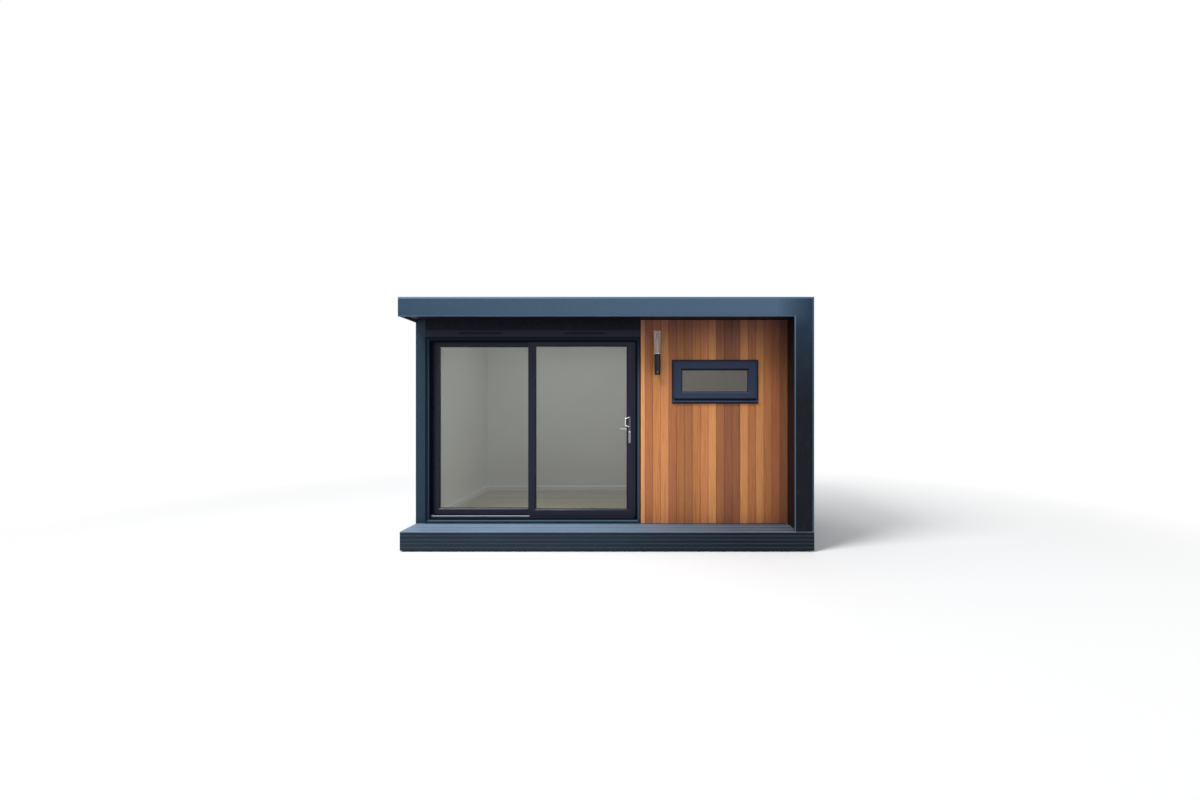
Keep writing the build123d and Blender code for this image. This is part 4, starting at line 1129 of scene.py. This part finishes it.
class POD_OT_glass_units(bpy.types.Operator):
    """Build each sealed unit: two sheets of glass, the bar between them and the rubber seals"""

    bl_idname = "pod.glass_units"
    bl_label = "Glass Units"

    def execute(self, context):
        sizes = context.scene.pod_glazing
        bodies = {"fixed_glass": "pod", "sliding_glass": "sliding_door", "window_glass": "pod"}
        for node, body in bodies.items():
            for build in (self.panes, self.spacer, self.seals):
                build(node, body, sizes)
        return {"FINISHED"}

    def panes(self, node, body, sizes):
        """Two sheets with ground edges."""
        low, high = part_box(node)
        outer = start_box("outer", low, (high.x, low.y + sizes.pane_thickness, high.z))
        inner = start_box("inner", (low.x, high.y - sizes.pane_thickness, low.z), high)
        panes = join(node.replace("glass", "panes"), [soften(sheet, 0.0006, 1) for sheet in (outer, inner)])
        finish_piece(panes, body, "window_glass" if node == "window_glass" else "clear_glass")
        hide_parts(node)

    def spacer(self, node, body, sizes):
        """The bar that holds the sheets apart, just in sight inside the sash."""
        low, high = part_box(node)
        bar = ring_round(node.replace("glass", "spacer"), (low, high), -HAIR,
                         low.y + sizes.pane_thickness, high.y - sizes.pane_thickness, sizes.spacer_width)
        finish_piece(soften(bar, 0.0008, 1), body, "black_seal")

    def seals(self, node, body, sizes):
        """A rounded rubber bead round the glass, on both sides."""
        low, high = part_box(node)
        beads = []
        for near, far in ((low.y - sizes.seal_height, low.y), (high.y, high.y + sizes.seal_height)):
            bead = ring_round("bead", (low, high), -sizes.rebate, near, far, sizes.seal_width)
            beads.append(soften(bead, 0.0009, 2))
        finish_piece(join(node.replace("glass", "seals"), beads), body, "black_seal")


class POD_OT_door_fittings(bpy.types.Operator):
    """Add the small fittings of the door and the seals of the door and the window"""

    bl_idname = "pod.door_fittings"
    bl_label = "Door Fittings"

    def execute(self, context):
        for build in (self.cylinder_plug, self.plate_screws, self.drain_caps, self.vent_slots, self.threshold,
                      self.rail_stop, self.deck_seal, self.door_seals, self.window_seals):
            build(context.scene.pod_fixing)
        return {"FINISHED"}

    def cylinder_plug(self, sizes):
        """The brass plug of the lock cylinder with its key slot."""
        stand_off, slot = 0.0135, Vector((0.0007, 0.003, 0.0040))
        low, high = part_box("outer_handle")
        centre = Vector((high.x - sizes.plate_middle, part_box("sliding_sash")[0].y - stand_off,
                         (low.z + high.z) / 2 - sizes.plug_fall))
        plug = start_cylinder("lock_plug", centre, sizes.plug_radius, sizes.plug_depth, "Y", 28)
        carve(plug, start_box("slot", centre - slot, centre + slot))
        finish_piece(soften(plug, 0.0002, 1), "sliding_door", "cylinder_brass")

    def plate_screws(self, sizes):
        """Two cross-headed screws through the inside plate."""
        heights, stand_off = (0.018, 0.112), 0.0493
        long_half, short_half, slot_back, slot_front = 0.0022, 0.0006, 0.0002, 0.002
        low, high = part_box("inner_handle")
        screws = []
        for height in heights:
            centre = Vector((high.x - sizes.plate_middle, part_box("sliding_sash")[0].y + stand_off,
                             low.z + height))
            screw = start_cylinder("screw", centre, sizes.plate_screw_radius, OVERLAP, "Y", 20)
            for across, tall in ((long_half, short_half), (short_half, long_half)):
                carve(screw, start_box("slot", centre - Vector((across, slot_back, tall)),
                                       centre + Vector((across, slot_front, tall))))
            screws.append(screw)
        finish_piece(join("plate_screws", screws), "sliding_door", "satin_silver")

    def drain_caps(self, sizes):
        """Hooded caps over the drain slots in the sill of the door frame."""
        shares, foot, border, slant = (0.12, 0.38, 0.62, 0.88), 0.012, 0.0015, 0.0012
        low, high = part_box("door_frame")
        bottom = low.z + foot
        caps = []
        for share in shares:
            x = low.x + share * (high.x - low.x)
            cap = start_box("cap", (x - sizes.cap_length / 2, low.y - sizes.cap_rise, bottom),
                            (x + sizes.cap_length / 2, low.y, bottom + sizes.cap_height))
            caps.append(soften(raise_side(cap, "y", -1, border, (0, slant, -slant)), 0.0006, 2))
        finish_piece(join("drain_caps", caps), "pod", "foil_level")

    def vent_slots(self, sizes):
        """A slotted strip on the front of each trickle vent's hood."""
        low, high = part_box("head_extender")
        middle = (low.x + high.x) / 2
        bottom = low.z + sizes.vent_height
        strips = [self.slotted_strip(sizes, middle + side * sizes.vent_middle, low.y, bottom)
                  for side in (-1, 1)]
        finish_piece(join("vent_slots", strips), "pod", "foil_level")

    def slotted_strip(self, sizes, centre_x, front, bottom):
        """A strip of upright slots, made from a row of cells, each inset and pushed in."""
        middle, height, end_gap, bar, push = 0.005, 0.0085, 0.004, 0.0016, 0.8
        clear_selection()
        bpy.ops.mesh.primitive_grid_add(x_subdivisions=round(sizes.vent_width / sizes.slot_pitch),
                                        y_subdivisions=1, size=1, rotation=(math.pi / 2, 0, 0),
                                        location=(centre_x, front - sizes.slot_depth, bottom + middle))
        strip = bpy.context.object
        strip.scale = (sizes.vent_width - end_gap, height, 1)
        settle(strip, "strip")
        with Editing(strip) as edit:
            bpy.ops.mesh.select_all(action="SELECT")
            edit.extrude((0, sizes.slot_depth, 0))
            bpy.ops.mesh.select_all(action="SELECT")
            bpy.ops.mesh.normals_make_consistent(inside=False)
            edit.pick_side("y", -1)
            bpy.ops.mesh.inset(thickness=bar, use_individual=True)
            edit.extrude((0, sizes.slot_depth * push, 0))
        return strip

    def threshold(self, sizes):
        """A low domed strip over the joint between the door frame and the floor boards."""
        end_gap, dome = 0.002, 0.9
        low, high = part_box("door_frame")
        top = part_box("floor_finish")[1].z
        strip = start_box("threshold_strip", (low.x + end_gap, high.y, top),
                          (high.x - end_gap, high.y + sizes.threshold_width, top + sizes.threshold_height))
        with Editing(strip, "EDGE") as edit:
            edit.pick_long_edges("x", lambda end: end.z > top + OVERLAP)
            bpy.ops.mesh.bevel(offset=sizes.threshold_height * dome, segments=3, affect="EDGES")
        smooth(40)
        finish_piece(strip, "pod", "threshold_aluminium")

    def rail_stop(self, sizes):
        """A rubber-faced block over the end of the outer rail, where the sliding leaf closes."""
        side_gap, head_gap, border, pad = 0.003, 0.0055, 0.004, 0.003
        rail_low, rail_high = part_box("track_rails")
        sash_low, sash_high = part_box("sliding_sash")
        stop = start_box("rail_stop",
                         (leaf_right() + sizes.stop_gap, sash_low.y + side_gap, rail_low.z + HAIR),
                         (rail_high.x - HAIR, sash_high.y - side_gap, rail_high.z - head_gap))
        raise_side(stop, "x", -1, border, (-pad, 0, 0), new_walls=True)
        finish_piece(soften(stop, 0.0015, 2), "pod", "black_seal")

    def deck_seal(self, sizes):
        """A rubber strip in the gap between the deck boards and the wall."""
        side_gap, fall, rise = 0.0002, 0.0015, 0.0012
        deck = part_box("deck_boards")[1]
        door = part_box("door_frame")[0]
        strip = start_box("deck_seal", (door.x, deck.y + side_gap, deck.z - sizes.deck_seal_depth),
                          (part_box("cedar_cladding")[1].x, door.y - side_gap, deck.z - fall))
        raise_side(strip, "z", 1, rise, (0, 0, rise))
        smooth(40)
        finish_piece(strip, "pod", "black_seal")

    def door_seals(self, sizes):
        """The line of black sealant round the door frame, which also stands in for the shadow gap round it,
        and the brush seal inside its lip.
        """
        stand_off, brush_back = 0.0015, 0.0060
        low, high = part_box("door_frame")
        # Black sealant that also stands in for the shadow gap round the frame
        line = open_ring("door_sealant", (low.x - 2 * OVERLAP, low.y - stand_off, low.z - HAIR),
                         (high.x + 2 * OVERLAP, low.y + OVERLAP, high.z + OVERLAP), sizes.sealant_width)
        finish_piece(soften(line, 0.0007, 2), "pod", "black_seal")
        brush = ring_round("door_brush_seal", (low, high), -sizes.door_frame_face,
                           low.y + HAIR, low.y + brush_back, sizes.brush_width)
        finish_piece(soften(brush, 0.0012, 2), "pod", "brush_pile")

    def window_seals(self, sizes):
        """The rubber edge round the window frame and the seal round its sash with a bead at its foot, which
        also stand in for the shadow lines round the frame and under the sash, and a black strip that stands
        in for the shadow under the weather bar.
        """
        stand_off, edge_back, foot_front, drip_back = 0.0015, 0.0040, 0.0020, 0.0090
        drip_heights = (0.0050, 0.0130)
        low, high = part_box("window_frame")
        face = low.y + sizes.weather_bar
        # Black rubber edge that also stands in for the shadow line round the frame
        edge = ring_round("window_edge_seal", (low, high), OVERLAP, face - stand_off, face + edge_back,
                          sizes.edge_seal_width)
        finish_piece(soften(edge, 0.0012, 2), "pod", "black_seal")
        sash_low, sash_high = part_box("window_sash")
        reach = sizes.sash_seal_reach
        beads = [
            ring_round("seal", (sash_low, sash_high), reach, face - foot_front, face + OVERLAP,
                       sizes.sash_seal_width),
            # The foot bead also stands in for the shadow under the sash
            start_box("foot", (sash_low.x - reach, sash_low.y - stand_off, sash_low.z - sizes.sash_seal_foot),
                      (sash_high.x + reach, face + OVERLAP, sash_low.z + sizes.sash_seal_lap)),
            # A black strip that stands in for the shadow under the weather bar
            start_box("drip", (low.x + OVERLAP, low.y - OVERLAP, low.z + drip_heights[0]),
                      (high.x - OVERLAP, low.y + drip_back, low.z + drip_heights[1])),
        ]
        seal = join("window_sash_seal", [soften(bead, 0.0007, 2) for bead in beads])
        finish_piece(seal, "pod", "black_seal")


class POD_OT_lamp_core(bpy.types.Operator):
    """Put the slim lamp into its glass tube"""

    bl_idname = "pod.lamp_core"
    bl_label = "Lamp Core"

    def execute(self, context):
        radius, share, border, tip = 0.014, 0.62, 0.004, 0.008
        low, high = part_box("lamp_tube")
        middle = (low + high) / 2
        tall = (high.z - low.z) * share
        core = start_cylinder("lamp_core", (middle.x, middle.y, low.z + tall / 2), radius, tall)
        raise_side(core, "z", 1, border, (0, 0, tip))
        finish_piece(soften(core, 0.0015, 2), "pod", "lamp_diffuser")
        return {"FINISHED"}


class POD_OT_roof_fittings(bpy.types.Operator):
    """Lap the roof sheet and hang the gutter from its straps"""

    bl_idname = "pod.roof_fittings"
    bl_label = "Roof Fittings"

    def execute(self, context):
        for build in (self.laps, self.straps, self.collars):
            build(context.scene.pod_roof)
        return {"FINISHED"}

    def laps(self, sizes):
        """Cover strips over the seams of the roof sheet, sloped with the roof, with pressed edges."""
        border, groove, groove_depth = 0.010, 0.002, 0.0008
        low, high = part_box("roof_membrane")
        front_top = high.z - sizes.kerb_height + sizes.sheet_thickness
        rear_top = low.z + sizes.drip + sizes.sheet_thickness
        front, rear = low.y + sizes.kerb_width + OVERLAP, high.y - OVERLAP
        fall = (rear_top - front_top) / (high.y - low.y)
        laps = []
        for share in (-1 / 3, 1 / 3):
            middle = share * high.x
            lap = start_box("lap", (middle - sizes.lap_width / 2, front, front_top),
                            (middle + sizes.lap_width / 2, rear, front_top + sizes.lap_thickness))
            with Editing(lap) as edit:
                for side, end in ((1, rear), (-1, front)):
                    edit.pick_side("y", side)
                    edit.move((0, 0, fall * (end - low.y)))
                edit.pick_side("z", 1)
                edit.inset(border)
                edit.inset(groove, -groove_depth)
            laps.append(lap)
        finish_piece(join("roof_laps", laps), "pod", "rubber_sheet")

    def straps(self, sizes):
        """Flat straps from the rear trim across the top of the gutter."""
        border, rib = 0.006, 0.002
        low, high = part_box("gutter")
        middle, half = low.x + sizes.strap_inset, sizes.strap_width / 2
        pitch = (high.x - sizes.strap_inset - middle) / (sizes.strap_count - 1)
        first = start_box("strap", (middle - half, low.y + HAIR, high.z),
                          (middle + half, high.y - HAIR, high.z + sizes.strap_thickness))
        soften(raise_side(first, "z", 1, border, (0, 0, rib), new_walls=True), 0.0008, 2)
        copies = [shifted_copy(first, (index * pitch, 0, 0)) for index in range(1, sizes.strap_count)]
        finish_piece(join("gutter_straps", [first] + copies), "pod", "gutter_plastic")

    def collars(self, sizes):
        """Socket collars on the downpipe: at its head, above its middle and at its foot."""
        end_gap, above_middle = 0.03, 0.2
        low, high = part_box("downpipe")
        gutter_low, gutter_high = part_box("gutter")
        middle = (low + high) / 2
        radius = (high.x - low.x) / 2 - HAIR
        collars = []
        for z in (high.z - end_gap, middle.z + above_middle, low.z + end_gap):
            centre = (middle.x, (gutter_low.y + gutter_high.y) / 2, z)
            collar = start_cylinder("collar", centre, radius, sizes.collar_height, "Z", 40)
            with Editing(collar) as edit:
                edit.pick_ends("z")
                edit.inset(sizes.collar_wall)
                bpy.ops.mesh.bridge_edge_loops()
            collars.append(soften(collar, 0.0012, 2, 40))
        finish_piece(join("pipe_collars", collars), "pod", "gutter_plastic")


class POD_OT_base_flashing(bpy.types.Operator):
    """Cover the edge of the floor with a folded metal drip over the skirts"""

    bl_idname = "pod.base_flashing"
    bl_label = "Base Flashing"

    def execute(self, context):
        sizes = context.scene.pod_fixing
        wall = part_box("side_walls")[1].x
        deck_low, deck_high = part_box("floor_deck")
        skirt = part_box("side_skirts")[1]
        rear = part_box("rear_skirt")[1].y
        foot = skirt.z + HAIR
        edge = skirt.x - OVERLAP
        head = deck_high.z + sizes.upstand
        pieces = []
        for side in (-1, 1):
            start = (side * wall, deck_low.y, foot)
            upright = self.box_between("upright", start, (side * (wall + sizes.sheet), deck_high.y, head))
            sill = self.box_between("sill", start, (side * edge, rear, foot + sizes.sheet))
            self.tilt(sill, "x", -side, sizes)
            self.mitre(sill, (side * wall, deck_high.y, 0), (-side, 1, 0))
            pieces += [upright, sill]
        upright = start_box("upright", (-wall, deck_high.y, foot), (wall, deck_high.y + sizes.sheet, head))
        sill = start_box("sill", (-edge, deck_high.y, foot), (edge, rear - OVERLAP, foot + sizes.sheet))
        self.tilt(sill, "y", -1, sizes)
        for side in (-1, 1):
            self.mitre(sill, (side * wall, deck_high.y, 0), (side, -1, 0))
        finish_piece(join("base_flashing", pieces + [upright, sill]), "pod", "anthracite_trim")
        return {"FINISHED"}

    def box_between(self, name, first, second):
        """A box between any two of its opposite corners."""
        return start_box(name, *(tuple(pick(pair) for pair in zip(first, second)) for pick in (min, max)))

    def tilt(self, sill, axis, side, sizes):
        """Raise the inner edge of a sill."""
        with Editing(sill) as edit:
            edit.pick_side(axis, side)
            edit.move((0, 0, sizes.flashing_fall))

    def mitre(self, sill, place, outward):
        """Cut the end of a sill at an angle through a corner."""
        with Editing(sill) as edit:
            edit.cut_away(place, outward)


class POD_OT_trim_screws(bpy.types.Operator):
    """Fix the metal trims with coloured dome screws"""

    bl_idname = "pod.trim_screws"
    bl_label = "Trim Screws"

    def execute(self, context):
        sizes = context.scene.pod_fixing
        low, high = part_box("joint_covers")
        walls_low, walls_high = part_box("side_walls")
        third = (walls_high.y - walls_low.y) / 3
        first = low.y + sizes.edge_screws
        count = int((high.z - low.z) / sizes.screw_pitch)
        places = []
        for index in range(count):
            z = low.z + (index + 0.5) * (high.z - low.z) / count
            for y in (first, first + third, walls_high.y - sizes.rear_screws):
                places.append(((low.x, y, z), "X", -1))
                places.append(((high.x, y, z), "X", 1))
            for share in (-0.5, 0.0, 0.5):
                places.append(((share * (walls_high.x - walls_low.x) / 2, high.y, z), "Y", 1))
        screws = [self.screw(sizes, *place) for place in places]
        finish_piece(join("trim_screws", screws), "pod", "anthracite_trim")
        return {"FINISHED"}

    def screw(self, sizes, place, axis, side):
        """A low domed head against a face."""
        clear_selection()
        bpy.ops.mesh.primitive_uv_sphere_add(segments=12, ring_count=8, radius=sizes.screw_radius,
                                             location=place)
        head = bpy.context.object
        flat = sizes.screw_rise / sizes.screw_radius
        head.scale = (flat, 1, 1) if axis == "X" else (1, flat, 1)
        settle(head, "screw")
        with Editing(head) as edit:
            edit.cut_away(place, (-side, 0, 0) if axis == "X" else (0, -side, 0))
        smooth(50)
        return head


class POD_OT_stage(bpy.types.Operator):
    """Set up the pale studio floor, the soft lights and the camera"""

    bl_idname = "pod.stage"
    bl_label = "Stage"

    def execute(self, context):
        sizes = context.scene.pod_stage
        self.floor(sizes)
        self.world()
        self.lamps()
        self.camera(sizes)
        context.scene.view_settings.view_transform = "Standard"
        return {"FINISHED"}

    def floor(self, sizes):
        """A round pale floor that turns white with distance, for the camera only."""
        clear_selection()
        bpy.ops.mesh.primitive_circle_add(vertices=96, radius=sizes.floor_radius, fill_type="NGON")
        floor = settle(bpy.context.object, "studio_floor")
        surface = Surface("studio_floor")
        surface.shade({"Base Color": (sizes.floor_shade,) * 3, "Roughness": 0.9, "Specular IOR Level": 0.1})
        distance = surface.add("ShaderNodeVectorMath", {0: surface.place}, "Value", operation="LENGTH")
        fade = surface.fit(distance, sizes.fade_start, sizes.fade_end) * surface.seen_by("Camera", "Glossy")
        white = surface.add("ShaderNodeEmission", {"Color": (1.0, 1.0, 1.0)})
        surface.cover(Socket(surface, surface.shader.outputs[0]), white, fade)
        floor.data.materials.append(surface.material)

    def world(self):
        """White where the camera, gloss or glass looks at it, and a soft even light for the rest."""
        world = bpy.data.worlds.new("studio")
        bpy.context.scene.world = world
        nodes = Nodes(world)
        soft = nodes.add("ShaderNodeBackground", {"Color": (0.93, 0.96, 1.0), "Strength": 0.42})
        white = nodes.add("ShaderNodeBackground", {"Color": (1.0, 1.0, 1.0), "Strength": 1.0})
        shown = nodes.seen_by("Camera", "Glossy", "Transmission")
        nodes.add("ShaderNodeOutputWorld", {
            "Surface": nodes.add("ShaderNodeMixShader", {"Fac": shown, 1: soft, 2: white})})

    def lamps(self):
        """A key from the front left above, a weaker fill from the right, one from behind and one inside."""
        for name, place, size, power in (
            ("key", (-3.5, -5.0, 8.5), 4.0, 980.0),
            ("fill", (6.5, -6.5, 4.0), 5.0, 120.0),
            ("back", (0.0, 8.0, 6.5), 6.0, 420.0),
        ):
            lamp = self.lamp(name, place, "DISK", size, power)
            lamp.rotation_euler = (Vector((0, 0, 1.0)) - Vector(place)).to_track_quat("-Z", "Y").to_euler()
        # The room shows through its glass as it does by day
        low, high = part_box("ceiling")
        middle = (low + high) / 2
        room = self.lamp("room", (middle.x, middle.y, low.z - 0.03), "RECTANGLE", (high.x - low.x) * 0.8, 7.5)
        room.data.size_y = (high.y - low.y) * 0.6

    def lamp(self, name, place, shape, size, power):
        """One soft light that shines down."""
        light = bpy.data.lights.new(name, "AREA")
        light.shape = shape
        light.size = size
        light.energy = power
        lamp = bpy.data.objects.new(name, light)
        bpy.context.scene.collection.objects.link(lamp)
        lamp.location = place
        return lamp

    def camera(self, sizes):
        """The photograph's level view, along the depth of the room."""
        lens = bpy.data.cameras.new("camera")
        lens.sensor_width = 36.0
        lens.lens = sizes.focal_length
        lens.shift_x = sizes.shift_x
        lens.shift_y = sizes.shift_y
        lens.clip_end = 200.0
        camera = bpy.data.objects.new("camera", lens)
        bpy.context.scene.collection.objects.link(camera)
        camera.location = (sizes.camera_x, sizes.camera_y, sizes.camera_z)
        camera.rotation_euler = (math.pi / 2, 0, 0)
        bpy.context.scene.camera = camera


class POD_PT_panel(bpy.types.Panel):
    """The pod's operators and settings"""

    bl_idname = "POD_PT_panel"
    bl_label = "Garden Office Pod"
    bl_space_type = "VIEW_3D"
    bl_region_type = "UI"
    bl_category = "Pod"

    def draw(self, context):
        for operator in OPERATORS:
            self.layout.operator(operator.bl_idname)
        for name in SETTINGS:
            group = getattr(context.scene, name)
            box = self.layout.box()
            for field in group.__annotations__:
                box.prop(group, field)


OPERATORS = (
    POD_OT_finish_frame,
    POD_OT_cedar_boards,
    POD_OT_glass_units,
    POD_OT_door_fittings,
    POD_OT_lamp_core,
    POD_OT_roof_fittings,
    POD_OT_base_flashing,
    POD_OT_trim_screws,
    POD_OT_stage,
)
SETTINGS = {
    "pod_cladding": CladdingSettings,
    "pod_glazing": GlazingSettings,
    "pod_roof": RoofSettings,
    "pod_fixing": FixingSettings,
    "pod_finish": FinishSettings,
    "pod_stage": StageSettings,
}


def register():
    """Register the settings, the operators and the panel."""
    for name, settings in SETTINGS.items():
        bpy.utils.register_class(settings)
        setattr(bpy.types.Scene, name, PointerProperty(type=settings))
    for operator in OPERATORS:
        bpy.utils.register_class(operator)
    bpy.utils.register_class(POD_PT_panel)


def unregister():
    """Take back what register did."""
    bpy.utils.unregister_class(POD_PT_panel)
    for operator in reversed(OPERATORS):
        bpy.utils.unregister_class(operator)
    for name, settings in SETTINGS.items():
        delattr(bpy.types.Scene, name)
        bpy.utils.unregister_class(settings)


def main():
    """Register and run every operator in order."""
    register()
    bpy.ops.pod.finish_frame()
    bpy.ops.pod.cedar_boards()
    bpy.ops.pod.glass_units()
    bpy.ops.pod.door_fittings()
    bpy.ops.pod.lamp_core()
    bpy.ops.pod.roof_fittings()
    bpy.ops.pod.base_flashing()
    bpy.ops.pod.trim_screws()
    bpy.ops.pod.stage()
    clear_selection()


if __name__ == "__main__":
    main()
